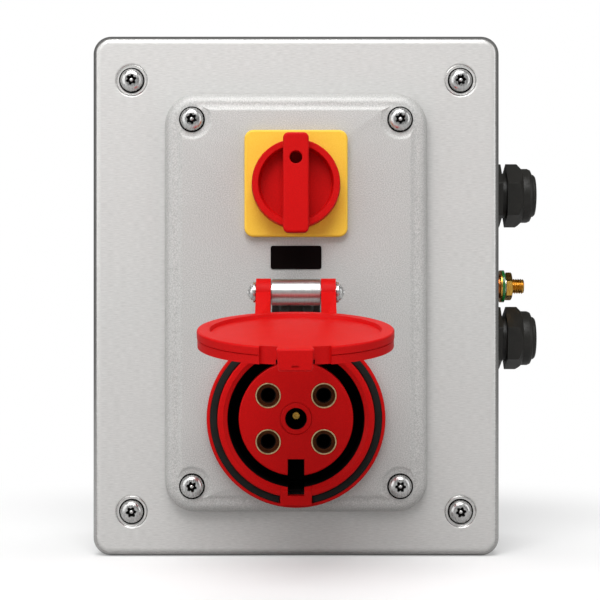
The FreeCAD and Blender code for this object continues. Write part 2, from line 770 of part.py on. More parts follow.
def build_plate():
    """Raised plate: a blasted pan with a soft shoulder, a stepped face and scalloped screw corners."""
    piece = Piece("socket_plate", z="-plate_drop")
    piece.block(lambda d: d.rounded("0", "0", "plate_width", "plate_height", "plate_corner"),
                "plate_rim", "plate_top")
    piece.dress("Fillet", "plate_shoulder", level("plate_top"))
    step_width, step_height = "plate_width - 2 * step_inset", "plate_height - 2 * step_inset"
    piece.block(lambda d: d.rounded("0", "0", step_width, step_height, "step_corner"),
                "plate_top", "plate_face")
    inner_width, inner_height = "plate_width - 2 * plate_sheet", "plate_height - 2 * plate_sheet"
    piece.cut(lambda d: d.rounded("0", "0", inner_width, inner_height, "plate_corner - plate_sheet"),
              "plate_rim", "plate_rear")
    piece.dress("Fillet", "plate_shoulder - plate_sheet", level("plate_rear"))
    spot = ("plate_pitch_x / -2", "plate_pitch_z / -2")
    scallop = piece.cut(lambda d: d.circle(*spot, "scallop_radius"), "plate_top", "plate_face")
    hole = piece.cut(lambda d: d.circle(*spot, "screw_radius + screw_play"), "plate_rear", "plate_top")
    piece.grid([scallop, hole], "plate_pitch_x", "plate_pitch_z")
    switch_y, socket_y = "switch_z + plate_drop", "socket_z + plate_drop"
    piece.cut(lambda d: d.circle("0", switch_y, "shaft_hole"), "plate_rear", "plate_face")
    piece.cut(lambda d: d.circle("0", socket_y, "cup_radius + panel_play"), "plate_rear", "plate_face")
    half = "switch_screw_pitch / 2"
    for x in (f"-{half}", half):
        for y in (f"{switch_y} - {half}", f"{switch_y} + {half}"):
            piece.cut(lambda d: d.circle(x, y, "small_screw + fit_play"), "plate_rear", "plate_face")
    for x in ("-hinge_screw_x", "hinge_screw_x"):
        piece.cut(lambda d: d.circle(x, "hinge_z + plate_drop - hinge_screw_down",
                                     "small_screw + fit_play"), "plate_rear", "plate_face")


def build_plate_fixings():
    """Seal, spacers, screws and nuts that hold the raised plate on the cover."""
    seal = Piece("plate_gasket", z="-plate_drop")

    def ring(drawing):
        drawing.rounded("0", "0", "plate_width - 2 * seal_inset", "plate_height - 2 * seal_inset",
                        "plate_corner - seal_inset")
        inset = "(seal_inset + seal_width)"
        drawing.rounded("0", "0", f"plate_width - 2 * {inset}", f"plate_height - 2 * {inset}",
                        f"plate_corner - {inset}")

    seal.block(ring, "box_depth", "plate_rim")
    screws("plate_screws", "-plate_drop", "plate_top", "plate_top - cover_back + nut_height",
           "plate_pitch_x", "plate_pitch_z")
    tubes("plate_spacers", "-plate_drop", "box_depth", "plate_rear", "plate_pitch_x", "plate_pitch_z")
    tubes("plate_nuts", "-plate_drop", "cover_back - nut_height", "cover_back",
          "plate_pitch_x", "plate_pitch_z")


def build_switch():
    """Yellow face plate, switch block with its wafers and screws, red handle and steel shaft."""
    pitch = "switch_screw_pitch"
    spot = (f"{pitch} / -2", f"{pitch} / -2")
    face = Piece("switch_faceplate", z="switch_z")
    front = "plate_face + face_thick"
    face.block(lambda d: d.rounded("0", "face_up", "face_width", "face_height", "face_corner"),
               "plate_face", front)
    face.dress("Fillet", "bar_round", level(front))
    face.cut(lambda d: d.circle("0", "0", "shaft_hole"), "plate_face", front)
    pocket = face.cut(lambda d: d.circle(*spot, "small_head + screw_play"),
                      "plate_face", "plate_face + small_screw + screw_play")
    face.grid([pocket], pitch, pitch)

    block = Piece("switch_body", z="switch_z")
    low = "(plate_rear - switch_deep)"
    block.block(lambda d: d.rounded("0", "0", "switch_block", "switch_block", "face_corner"),
                low, "plate_rear")
    wafer_pitch = "(switch_deep / (wafer_count + 1))"

    def groove(drawing):
        for width in ("switch_block + wafer_gap", "switch_block - 2 * wafer_gap"):
            drawing.rounded("0", "0", width, width, "face_corner")

    cut = block.cut(groove, f"{low} + {wafer_pitch} - wafer_gap", f"{low} + {wafer_pitch}")
    block.row([cut], "Z_Axis", wafer_pitch, int(value("wafer_count")))
    block.cut(lambda d: d.circle("0", "0", "shaft_radius + shaft_play"), "plate_rear - switch_deep / 2",
              "plate_rear")
    threads = block.cut(lambda d: d.circle(*spot, "small_screw + fit_play"),
                        "plate_rear - small_reach - screw_play", "plate_rear")
    block.grid([threads], pitch, pitch)

    small = corner_piece("switch_screws", "switch_z", "plate_face", pitch, pitch)
    small.block(lambda d: d.circle("0", "0", "small_screw"),
                "-(plate_face - plate_rear) - small_reach", "0")
    small.block(lambda d: d.circle("0", "0", "small_head"), "0", "small_screw")
    small.grid([], pitch, pitch)

    handle = Piece("switch_handle", z="switch_z", depth="rotor_base")
    inner = "(rotor_radius - rotor_wall)"
    handle.turned([
        ("0", "0"), ("rotor_radius", "0"), ("rotor_radius - rotor_draft", "rotor_high - 2 * rotor_draft"),
        ("rotor_radius - 2 * rotor_draft", "rotor_high"), (f"{inner} + rotor_draft", "rotor_high"),
        (inner, "rotor_high - rotor_draft"), (f"{inner} - rotor_draft", "rotor_floor + 2 * rotor_draft"),
        (f"{inner} - 3 * rotor_draft", "rotor_floor"), ("0", "rotor_floor"),
    ])
    handle.block(lambda d: d.rounded("0", "0", "bar_width - 2 * rotor_draft", "bar_length - 2 * rotor_draft",
                                     "bar_corner - rotor_draft"), "rotor_floor - rotor_draft", "bar_lift")
    handle.block(lambda d: d.rounded("0", "0", "bar_width", "bar_length", "bar_corner"),
                 "bar_lift", "bar_high")
    handle.dress("Fillet", "bar_round", level("bar_high"))
    handle.cut(lambda d: d.circle("0", "padlock_up", "padlock_radius"), "rotor_floor", "bar_high")
    mouth = value("padlock_radius")
    handle.dress("Chamfer", "rotor_draft", lambda edge: level("bar_high")(edge)
                 and isinstance(edge.Curve, Part.Circle) and abs(edge.Curve.Radius - mouth) < 1e-3)
    handle.cut(lambda d: d.circle("0", "0", "shaft_radius + seat_play"), "0", "bar_high / 2 + fit_play")

    shaft = Piece("switch_shaft", z="switch_z")
    shaft.block(lambda d: d.circle("0", "0", "shaft_radius"), "plate_rear - switch_deep / 2 + fit_play",
                "rotor_base + bar_high / 2")


def build_label():
    """Bare black label below the switch."""
    piece = Piece("label_plate", z="label_z")
    piece.block(lambda d: d.rounded("0", "0", "label_width", "label_height", "label_corner"),
                "plate_face", "plate_face + label_thick")


def build_socket():
    """Socket collar and cup with the keyway, seals, ring nut, contact insert, contacts and pilot pin."""
    housing = Piece("socket_housing", z="socket_z")
    bore, inside = "collar_bore", "liner_radius + seat_play"
    housing.turned([
        (inside, "flange_seat"), ("socket_flange", "flange_seat"),
        ("socket_flange", "flange_face - collar_edge"), ("socket_flange - collar_edge", "flange_face"),
        ("groove_outer", "flange_face"), ("groove_outer", "groove_floor"),
        ("groove_inner", "groove_floor"), ("groove_inner", "collar_face - collar_edge"),
        ("groove_inner - collar_edge", "collar_face"),
        (f"{bore} + collar_step + collar_edge", "collar_face"),
        (f"{bore} + collar_step", "collar_face - collar_edge"),
        (f"{bore} + collar_edge / 2", "collar_face - 2 * collar_edge"),
        (bore, "liner_face"), (inside, "liner_face"),
    ])
    opening = "(collar_bore - key_reach)"
    boss_middle = f"-(boss_outer + {opening}) / 2"
    housing.cut(lambda d: d.rounded("0", boss_middle, "boss_width + 2 * seat_play",
                                    f"boss_outer - {opening} + 2 * seat_play", "boss_corner + seat_play"),
                "flange_seat", "collar_face")

    boss = Piece("key_boss", z="socket_z")
    boss.block(lambda d: d.rounded("0", boss_middle, "boss_width", f"boss_outer - {opening}", "boss_corner"),
               "flange_seat", "collar_face")
    boss.groove([
        ("0", "flange_seat"), (inside, "flange_seat"), (inside, "liner_face"), (bore, "liner_face"),
        (f"{bore} + collar_edge / 2", "collar_face - 2 * collar_edge"),
        (f"{bore} + collar_step", "collar_face - collar_edge"),
        (f"{bore} + collar_step + collar_edge", "collar_face"), ("0", "collar_face"),
    ])
    key_centre = "-(key_outer + key_inner) / 2"
    boss.cut(lambda d: d.rectangle("0", key_centre, "key_width", "key_outer - key_inner"),
             "flange_seat", "collar_face")

    cup = Piece("socket_cup", z="socket_z")
    cup.turned([
        (bore, "cup_rear"), ("cup_radius", "cup_rear"), ("cup_radius", "flange_seat"),
        ("liner_radius", "flange_seat"), ("liner_radius", "liner_face"), (bore, "liner_face"),
    ])
    channel_middle, channel_high = f"-({opening} + ring_radius) / 2", f"ring_radius - {opening}"
    cup.cut(lambda d: d.rectangle("0", channel_middle, "boss_width + 2 * seat_play", channel_high),
            "key_floor - seat_play", "liner_face")

    channel = Piece("key_channel", z="socket_z")
    channel.block(lambda d: d.rectangle("0", channel_middle, "boss_width", channel_high),
                  "key_floor", "liner_face")
    channel.groove([("0", "key_floor"), (bore, "key_floor"), (bore, "liner_face"), ("0", "liner_face")])
    channel.groove([
        ("cup_radius", "key_floor"), ("2 * ring_radius", "key_floor"), ("2 * ring_radius", "liner_face"),
        ("liner_radius", "liner_face"), ("liner_radius", "flange_seat"), ("cup_radius", "flange_seat"),
    ])
    channel.cut(lambda d: d.rectangle("0", "-(cup_key + key_inner) / 2", "key_width", "cup_key - key_inner"),
                "key_floor", "liner_face")

    seal = Piece("socket_seal", z="socket_z")

    def ring(drawing):
        drawing.circle("0", "0", "groove_outer - fit_play")
        drawing.circle("0", "0", "groove_inner + fit_play")

    top = "flange_face + seal_stand"
    seal.block(ring, "groove_floor", top)
    seal.cut(lambda d: d.rectangle("0", "-groove_outer", "boss_width + 2 * fit_play",
                                   "3 * (groove_outer - groove_inner)"), "groove_floor", top)

    flat = Piece("flange_gasket", z="socket_z")

    def flat_ring(drawing):
        drawing.circle("0", "0", "socket_flange - collar_edge")
        drawing.circle("0", "0", "cup_radius + panel_play")

    flat.block(flat_ring, "plate_face", "flange_seat")

    nut = Piece("socket_ring_nut", z="socket_z")

    def nut_ring(drawing):
        drawing.circle("0", "0", "ring_radius")
        drawing.circle("0", "0", "cup_radius + fit_play")

    nut.block(nut_ring, "plate_rear - ring_thick", "plate_rear")
    notch = nut.cut(lambda d: d.rectangle("0", "ring_radius", "ring_thick", "ring_thick"),
                    "plate_rear - ring_thick", "plate_rear")
    nut.around([notch], 8)

    base = Piece("contact_base", z="socket_z")
    base.block(lambda d: d.circle("0", "0", "collar_bore - fit_play"), "cup_rear", "cup_floor")
    base.cut(lambda d: d.circle("0", "0", "pilot_radius + fit_play"), "cup_rear", "cup_floor")
    spot = ("contact_x / -1", "contact_z / -1")
    passage = base.cut(lambda d: d.circle(*spot, "contact_body + fit_play"), "cup_rear", "cup_floor")
    base.grid([passage], "2 * contact_x", "2 * contact_z")

    insert = Piece("contact_insert", z="socket_z")
    insert.block(lambda d: d.circle("0", "0", "insert_radius"), "cup_floor", "insert_face")
    insert.dress("Chamfer", "insert_edge", level("insert_face"))
    insert.cut(lambda d: d.rectangle("0", key_centre, "key_width", "key_outer - key_inner"),
               "key_floor", "insert_face")
    insert.cut(lambda d: d.circle("0", "0", "pilot_ring + seat_play"), "insert_floor", "insert_face")
    insert.cut(lambda d: d.circle("0", "0", "pilot_radius + fit_play"), "cup_floor", "insert_floor")
    mouth = insert.cut(lambda d: d.circle(*spot, "contact_radius + fit_play"),
                       "insert_face - 2 * contact_sink", "insert_face")
    well = insert.cut(lambda d: d.circle(*spot, "contact_body + fit_play"), "cup_floor",
                      "insert_face - 2 * contact_sink")
    insert.grid([mouth, well], "2 * contact_x", "2 * contact_z")

    liner = Piece("pilot_liner", z="socket_z")
    liner.turned([
        ("pilot_recess", "insert_floor"), ("pilot_ring", "insert_floor"),
        ("pilot_ring", "insert_face - insert_edge"), ("pilot_ring - insert_edge", "insert_face"),
        ("pilot_recess", "insert_face"),
    ])

    pins = corner_piece("contact_sleeves", "socket_z", "insert_face", "2 * contact_x", "2 * contact_z")
    back = "-(insert_face - cup_rear)"
    pins.turned([
        ("0", f"{back} - contact_tail"), ("contact_body - contact_rim * 2", f"{back} - contact_tail"),
        ("contact_body - contact_rim * 2", back), ("contact_body", back),
        ("contact_body", "-2 * contact_sink"), ("contact_radius", "-2 * contact_sink"),
        ("contact_radius", "contact_rim / 2"), ("contact_radius - contact_rim", "contact_rim / 2"),
        ("contact_radius - contact_rim", "-contact_sink"), ("contact_bore + contact_lead", "-contact_sink"),
        ("contact_bore", "-contact_sink - contact_lead"), ("contact_bore", "-contact_deep"),
        ("0", "-contact_deep"),
    ])
    pins.grid([], "2 * contact_x", "2 * contact_z")

    pilot = Piece("pilot_pin", z="socket_z", depth="insert_face")
    pilot.block(lambda d: d.circle("0", "0", "pilot_radius"), f"{back} - contact_tail", "-pilot_tip")
    pilot.dress("Fillet", "pilot_round", level("-pilot_tip"))


def build_hinge():
    """Black bracket, the polished knuckle on it, the pin through it, two domed caps and the rivets."""
    bracket = Piece("hinge_bracket", z="hinge_z", depth="plate_face")
    lift = "(hinge_depth - plate_face)"
    half = "(knuckle_length / 2)"
    base = bracket.draw(f"-{half}", "YZ_Plane")
    base.polygon([("-bracket_down", "0"), ("bracket_up", "0"), ("bracket_up", "bracket_sheet"),
                  ("bracket_sheet / 2", "bracket_sheet"), ("bracket_sheet / 2", lift),
                  ("-bracket_sheet", lift), ("-bracket_sheet", "bracket_sheet"),
                  ("-bracket_down", "bracket_sheet")])
    bracket.pad(base, "knuckle_length")
    saddle = bracket.draw(half, "YZ_Plane")
    saddle.circle("0", lift, "knuckle_radius + seat_play")
    bracket.pocket(saddle, "knuckle_length")
    for x in ("-hinge_screw_x", "hinge_screw_x"):
        bracket.cut(lambda d: d.circle(x, "-hinge_screw_down", "small_screw + fit_play"),
                    "0", "bracket_sheet")

    knuckle = Piece("hinge_knuckle", side=True, z="hinge_z", depth="hinge_depth")
    round_ring(knuckle, "knuckle_radius", "pin_radius + seat_play", f"-{half}", half)

    rivets = Piece("hinge_rivets", z="hinge_z - hinge_screw_down", depth="plate_face")
    low = "-(plate_face - plate_rear)"
    for x in ("-hinge_screw_x", "hinge_screw_x"):
        rivets.block(lambda d: d.circle(x, "0", "small_screw"), low, "bracket_sheet")
        rivets.block(lambda d: d.circle(x, "0", "small_head"), "bracket_sheet", "bracket_sheet + rivet_head")
        rivets.block(lambda d: d.circle(x, "0", "small_head"), f"{low} - rivet_head", low)

    pin = Piece("hinge_pin", side=True, z="hinge_z", depth="hinge_depth")
    outer = f"({half} + hinge_gap + lug_width + hinge_gap)"
    reach = f"({outer} + cap_flange + cap_dome / 2)"
    pin.block(lambda d: d.circle("0", "0", "pin_radius"), f"-{reach}", reach)

    caps = Piece("hinge_caps", side=True, z="hinge_z", depth="hinge_depth")
    rim = f"({outer} + cap_flange)"
    dome = [("dome_foot", "0"), ("dome_waist", "dome_waist_rise"), ("dome_brow", "dome_brow_rise"),
            ("dome_crown", "cap_dome"), ("0", "cap_dome")]
    bore_radius = "pin_radius + seat_play"
    end = caps.turned([(bore_radius, outer), ("cap_radius", outer), ("cap_radius", rim)]
                      + [(radius, f"{rim} + {rise}") for radius, rise in dome]
                      + [("0", f"{reach} + seat_play"), (bore_radius, f"{reach} + seat_play")])
    mirrored = caps.body.newObject("PartDesign::Mirrored", "Mirrored")
    mirrored.Originals = [end]
    mirrored.MirrorPlane = (caps.axis("XY_Plane"), [""])
    caps.body.Tip = mirrored
    caps.finish(mirrored)


def build_lid():
    """Round lid with two hinge lugs, a dished top, a set-back front and a lifting tab."""
    lid = Piece("socket_lid", z="hinge_z", depth="hinge_depth", tilt="lid_open_angle")
    top, low = "(-lid_drop)", "(-lid_drop - lid_thick)"
    middle = "-lid_reach"
    lid.block(lambda d: d.circle("0", middle, "lid_radius - lid_split"), low, f"{low} + lid_thick / 2")
    lid.block(lambda d: d.circle("0", middle, "lid_radius"), f"{low} + lid_thick / 2", top)
    lid.dress("Fillet", "lid_round", level(top))
    dish = lid.cut(lambda d: d.circle("0", middle, "lid_dish"), f"{top} - dish_deep", top)
    dish.setExpression("TaperAngle", formula("-atan(dish_run / dish_deep)"))
    lid.finish(dish, cuts=True)
    lid.cut(lambda d: d.circle("0", middle, "groove_inner + lid_play"), low, f"{top} - dish_deep - lid_web")
    lid.cut(lambda d: d.sector("0", middle, "notch_radius", "tab_outer", "notch_half_angle"), low, top)

    eye = "(knuckle_length / 2 + hinge_gap)"
    for side in (f"-{eye} - lug_width", eye):
        ring = lid.draw(side, "YZ_Plane")
        ring.circle("0", "0", "lug_radius")
        lid.pad(ring, "lug_width")
        arm = lid.draw(side, "YZ_Plane")
        back = "(-lid_reach + lid_radius - lug_root)"
        arm.polygon([("0", "-lug_radius + lid_round"), (back, f"{low} + lid_web"),
                     (back, f"{top} - dish_deep"),
                     ("-lug_radius + lid_round", "lug_radius / 4"), ("0", "lug_radius / 2")])
        lid.pad(arm, "lug_width")
        hole = lid.draw(f"{side} + lug_width", "YZ_Plane")
        hole.circle("0", "0", "pin_radius + pin_play")
        lid.pocket(hole, "lug_width")

    foot = f"({low} - tab_below)"
    head = f"({top} + tab_proud)"
    near = "(lid_reach + lid_radius + lid_play)"
    root = "(lid_reach + notch_radius - lid_web)"
    lid.block(lambda d: d.rectangle("0", f"-({root} + {near}) / 2", "tab_foot", f"{near} - {root}"),
              low, head)
    slab = lid.draw(near, "XZ_Plane")
    slab.polygon([("-tab_foot / 2", foot), ("tab_foot / 2", foot),
                  ("tab_width / 2", head), ("-tab_width / 2", head)])
    lid.pad(slab, f"lid_reach + tab_outer - {near}")
    front, back = value("-(lid_reach + tab_outer)") + 1e-3, value(f"-{near}") + 1e-3
    lid.dress("Fillet", "tab_round", lambda edge: edge.BoundBox.YMax < back and edge.BoundBox.YMin < front)
    slot = lid.draw("lid_reach + tab_outer - tab_slot_deep", "XZ_Plane")
    slot.rectangle("0", f"{foot} + tab_slot_rise", "tab_slot", "tab_slot_high")
    lid.pocket_up(slot, "tab_slot_deep")
    lid.cut(lambda d: d.rectangle("0", "-(lid_reach + (boss_outer + groove_inner) / 2)",
                                  "boss_width + 2 * lid_play", "boss_outer - groove_inner + 2 * lid_play"),
            low, "-(hinge_depth - collar_face) + lid_play")


def build_gland(name, height):
    """One cable gland: body, cap, seal, washer and locknut."""
    wall = dict(side=True, x="box_half", z=height, depth="side_depth")

    body = Piece(f"{name}_gland_body", **wall)
    round_ring(body, "gland_thread", "gland_bore", "-gland_inside", "gland_washer")
    hex_ring(body, "gland_flats", "gland_bore", "gland_washer", "gland_shoulder")
    round_ring(body, "gland_neck_radius", "gland_bore", "gland_shoulder",
               "gland_cap_hexed - gland_neck_short")

    cap = Piece(f"{name}_gland_cap", **wall)
    play = "gland_neck_radius + fit_play"
    hex_ring(cap, "gland_flats", play, "gland_cap_foot", "gland_cap_hexed")
    cap.groove([
        ("gland_dome_radius", "gland_cap_hexed"), ("gland_dome_radius + gland_hex_bevel", "gland_cap_hexed"),
        ("gland_dome_radius + gland_hex_bevel", "gland_cap_hexed - gland_hex_bevel"),
    ])
    cap.turned([
        (play, "gland_cap_hexed"), ("gland_dome_radius", "gland_cap_hexed"),
        ("gland_dome_radius", "gland_cap_domed - gland_dome_round"),
        ("gland_dome_radius - gland_dome_edge", "gland_cap_domed - gland_dome_edge"),
        ("gland_dome_radius - gland_dome_round", "gland_cap_domed"),
        ("gland_lip_radius + gland_lip_foot", "gland_cap_domed + gland_lip_foot"),
        ("gland_lip_radius", "gland_tip - gland_lip_round"),
        ("gland_lip_radius - gland_lip_round", "gland_tip"),
        ("gland_bore", "gland_tip"), ("gland_bore", "gland_cap_domed - gland_end_wall"),
        (play, "gland_cap_domed - gland_end_wall"),
    ])

    seal = Piece(f"{name}_gland_seal", **wall)
    round_ring(seal, "gland_bore - fit_play", "gland_cable", "gland_cap_hexed - gland_seal_back",
               "gland_tip - gland_seal_sink")

    washer = Piece(f"{name}_gland_washer", **wall)
    round_ring(washer, "gland_thread + gland_washer_wall", "gland_thread + fit_play", "0", "gland_washer")

    nut = Piece(f"{name}_gland_locknut", **wall)
    hex_ring(nut, "locknut_flats", "gland_thread + fit_play", "-box_sheet - locknut_thick", "-box_sheet")


def build_earth_stud():
    """Brass earth stud through the right wall, with its spacer, washers and nuts."""
    wall = dict(side=True, x="box_half", z="stud_z", depth="side_depth")
    stud = Piece("earth_stud", **wall)
    stud.block(lambda d: d.circle("0", "0", "stud_radius"), "-stud_inside", "stud_reach")
    stud.dress("Chamfer", "stud_chamfer", level("stud_reach"))
    stud.groove([
        ("stud_radius - stud_relief_deep", "stud_stack"), ("stud_radius + stud_relief_deep", "stud_stack"),
        ("stud_radius + stud_relief_deep", "stud_stack + stud_relief"),
        ("stud_radius - stud_relief_deep", "stud_stack + stud_relief"),
    ])
    hole = "stud_radius + fit_play"
    start = "0"
    for label, radius, thick in (("earth_spacer", "spacer_radius", "stud_spacer"),
                                 ("earth_brass_washer", "stud_washer_radius", "brass_washer"),
                                 ("earth_green_washer", "stud_washer_radius", "green_washer"),
                                 ("earth_spring_washer", "spring_radius", "spring_washer")):
        ring = Piece(label, **wall)
        round_ring(ring, radius, hole, start, f"{start} + {thick}")
        start = f"{start} + {thick}"
    nut = Piece("earth_nut", **wall)
    hex_ring(nut, "stud_flats", hole, start, "stud_stack")
    nut.groove([
        ("stud_flats / 2 + nut_land", "stud_stack"), ("stud_flats / 2 + nut_reach", "stud_stack"),
        ("stud_flats / 2 + nut_reach", "stud_stack - nut_bevel"),
    ])
    inner = Piece("earth_inner_nut", **wall)
    hex_ring(inner, "stud_flats", hole, "-box_sheet - 2 * stud_nut", "-box_sheet")


def main():
    """Build every piece, check it and write its file."""
    fill_sheet()
    build_back_box()
    build_cover()
    build_cover_gasket()
    build_cover_fixings()
    build_plate()
    build_plate_fixings()
    build_switch()
    build_label()
    build_socket()
    build_hinge()
    build_lid()
    build_gland("upper", "gland_upper_z")
    build_gland("lower", "gland_lower_z")
    build_earth_stud()
    write_nodes()


def write_nodes():
    """Check every object and write one file for each node."""
    doc.recompute()
    for item in doc.Objects:
        if {"Invalid", "Error"} & set(item.State):
            raise ValueError(f"{item.Label}: {item.State}")
    for body in nodes:
        if body.Shape.isNull() or not body.Shape.isValid():
            raise ValueError(f"{body.Label}: bad shape")
    os.makedirs("parts", exist_ok=True)
    for body in nodes:
        body.Shape.exportStep(f"parts/{body.Label}.step")
        print(body.Label, len(body.Shape.Solids), round(body.Shape.Volume))


main()
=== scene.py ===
"""Looks of a stainless wall box with a rotary isolator, a lidded red socket, two glands and an earth stud.

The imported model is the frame: every piece made here lies where its solid lies, in metres, with +Z up,
the wall at y = 0 and the front towards -Y. Sizes in the classes are millimetres.
"""
import json
import logging
import math
from dataclasses import dataclass
from enum import Enum
from functools import cache
from typing import Callable, Sequence

import bmesh
import bpy
from mathutils import Matrix, Vector


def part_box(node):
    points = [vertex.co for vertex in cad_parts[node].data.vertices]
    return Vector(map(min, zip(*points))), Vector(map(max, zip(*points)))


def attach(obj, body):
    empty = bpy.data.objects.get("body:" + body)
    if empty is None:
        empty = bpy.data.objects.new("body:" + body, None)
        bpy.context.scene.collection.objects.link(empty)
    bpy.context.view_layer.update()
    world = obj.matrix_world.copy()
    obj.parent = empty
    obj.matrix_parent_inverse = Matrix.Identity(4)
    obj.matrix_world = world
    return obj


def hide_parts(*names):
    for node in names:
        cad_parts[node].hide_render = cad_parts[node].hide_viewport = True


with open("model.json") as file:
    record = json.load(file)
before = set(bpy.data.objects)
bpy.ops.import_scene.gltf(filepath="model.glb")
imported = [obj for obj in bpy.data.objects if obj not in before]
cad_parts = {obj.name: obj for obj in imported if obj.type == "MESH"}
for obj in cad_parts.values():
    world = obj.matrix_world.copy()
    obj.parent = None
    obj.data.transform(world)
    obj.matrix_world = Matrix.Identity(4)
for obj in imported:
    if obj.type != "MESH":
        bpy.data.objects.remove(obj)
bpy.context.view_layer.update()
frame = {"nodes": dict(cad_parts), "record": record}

LOG = logging.getLogger("wall_socket")
MM = 0.001
SHARP = math.radians(35)
OUTWARD = Matrix.Rotation(math.radians(90), 4, "X")
SIDEWARD = Matrix.Rotation(math.radians(90), 4, "Y")
Colour = tuple[float, float, float, float]
WHITE: Colour = (1.0, 1.0, 1.0, 1.0)
BENT = (-0.98, -0.82)  # Y of a sheet's normal where a burnished bend begins, and where it is full
Edge = bmesh.types.BMEdge
Face = bmesh.types.BMFace
Corner = bmesh.types.BMVert
Form = bmesh.types.BMesh
Mesh = bpy.types.Mesh
# A ring of a turned form: its radius (0 for a pole) and height in mm, and how far a lobed one swings.
Ring = tuple[float, ...]


def linear(hex_text: str) -> Colour:
    """Turn an sRGB hex colour into a linear one.

    Args:
        hex_text: a colour such as "#D81E1E".

    Returns:
        Red, green, blue and alpha as Blender's sockets hold them.
    """
    parts = [int(hex_text[place:place + 2], 16) / 255 for place in (1, 3, 5)]
    bent = [part / 12.92 if part <= 0.04045 else ((part + 0.055) / 1.055) ** 2.4 for part in parts]
    return bent[0], bent[1], bent[2], 1.0


def put(name: str, data: bpy.types.ID) -> bpy.types.Object:
    """Put a new object in the scene."""
    thing = bpy.data.objects.new(name, data)
    bpy.context.scene.collection.objects.link(thing)
    return thing


class Tree:
    """A node tree that is filled one node at a time."""

    def __init__(self, tree: bpy.types.NodeTree) -> None:
        """Keep the tree and empty it."""
        self.tree = tree
        self.tree.nodes.clear()

    def add(self, kind: str, links: dict[str, object] | None = None, **settings: object) -> bpy.types.Node:
        """Add a node with its settings and inputs.

        Args:
            kind: the node's type name.
            links: by input name or index, a value, an output, a node for its first live output, or the
                name of an input of the tree.
            settings: the node's own properties.

        Returns:
            The new node.
        """
        node = self.tree.nodes.new(kind)
        for name, setting in settings.items():
            setattr(node, name, setting)
        for name, source in (links or {}).items():
            socket = node.inputs[int(name)] if name.isdigit() else node.inputs[name]
            if isinstance(source, str):
                source = self.entry.outputs[source]
            elif isinstance(source, bpy.types.Node):
                source = next(output for output in source.outputs if output.enabled)
            if isinstance(source, bpy.types.NodeSocket):
                self.tree.links.new(source, socket)
            else:
                socket.default_value = source
        return node


class Recipe(Tree):
    """A geometry tree with named inputs that ends in real faces of one finish."""

    def __init__(self, name: str, **inputs: str) -> None:
        """Start the tree.

        Args:
            name: what the tree makes.
            inputs: kind of each named input.
        """
        group = bpy.data.node_groups.new(name, "GeometryNodeTree")
        super().__init__(group)
        group.interface.new_socket("Geometry", in_out="INPUT", socket_type="NodeSocketGeometry")
        self.keys = {label: group.interface.new_socket(label, in_out="INPUT",
                                                       socket_type=f"NodeSocket{kind}").identifier
                     for label, kind in dict(inputs, Finish="Material").items()}
        group.interface.new_socket("Geometry", in_out="OUTPUT", socket_type="NodeSocketGeometry")
        self.entry = self.add("NodeGroupInput")

    def end(self, geometry: bpy.types.Node) -> "Recipe":
        """Make the copies real, give them their finish and close the tree."""
        real = self.add("GeometryNodeRealizeInstances", {"Geometry": geometry})
        dressed = self.add("GeometryNodeSetMaterial", {"Geometry": real, "Material": "Finish"})
        self.add("NodeGroupOutput", {"Geometry": dressed})
        return self

    def grow(self, seed: Mesh, values: dict[str, object]) -> Mesh:
        """Run the tree on a mesh.

        Args:
            seed: the mesh that it starts from.
            values: each input's value, by name.

        Returns:
            The result as a plain mesh.
        """
        holder = put("Holder", seed)
        modifier = holder.modifiers.new(self.tree.name, "NODES")
        modifier.node_group = self.tree
        for label, value in values.items():
            modifier[self.keys[label]] = value
        graph = bpy.context.evaluated_depsgraph_get()
        grown = bpy.data.meshes.new_from_object(holder.evaluated_get(graph), depsgraph=graph)
        holder.modifiers.remove(modifier)
        bpy.data.objects.remove(holder)
        return grown


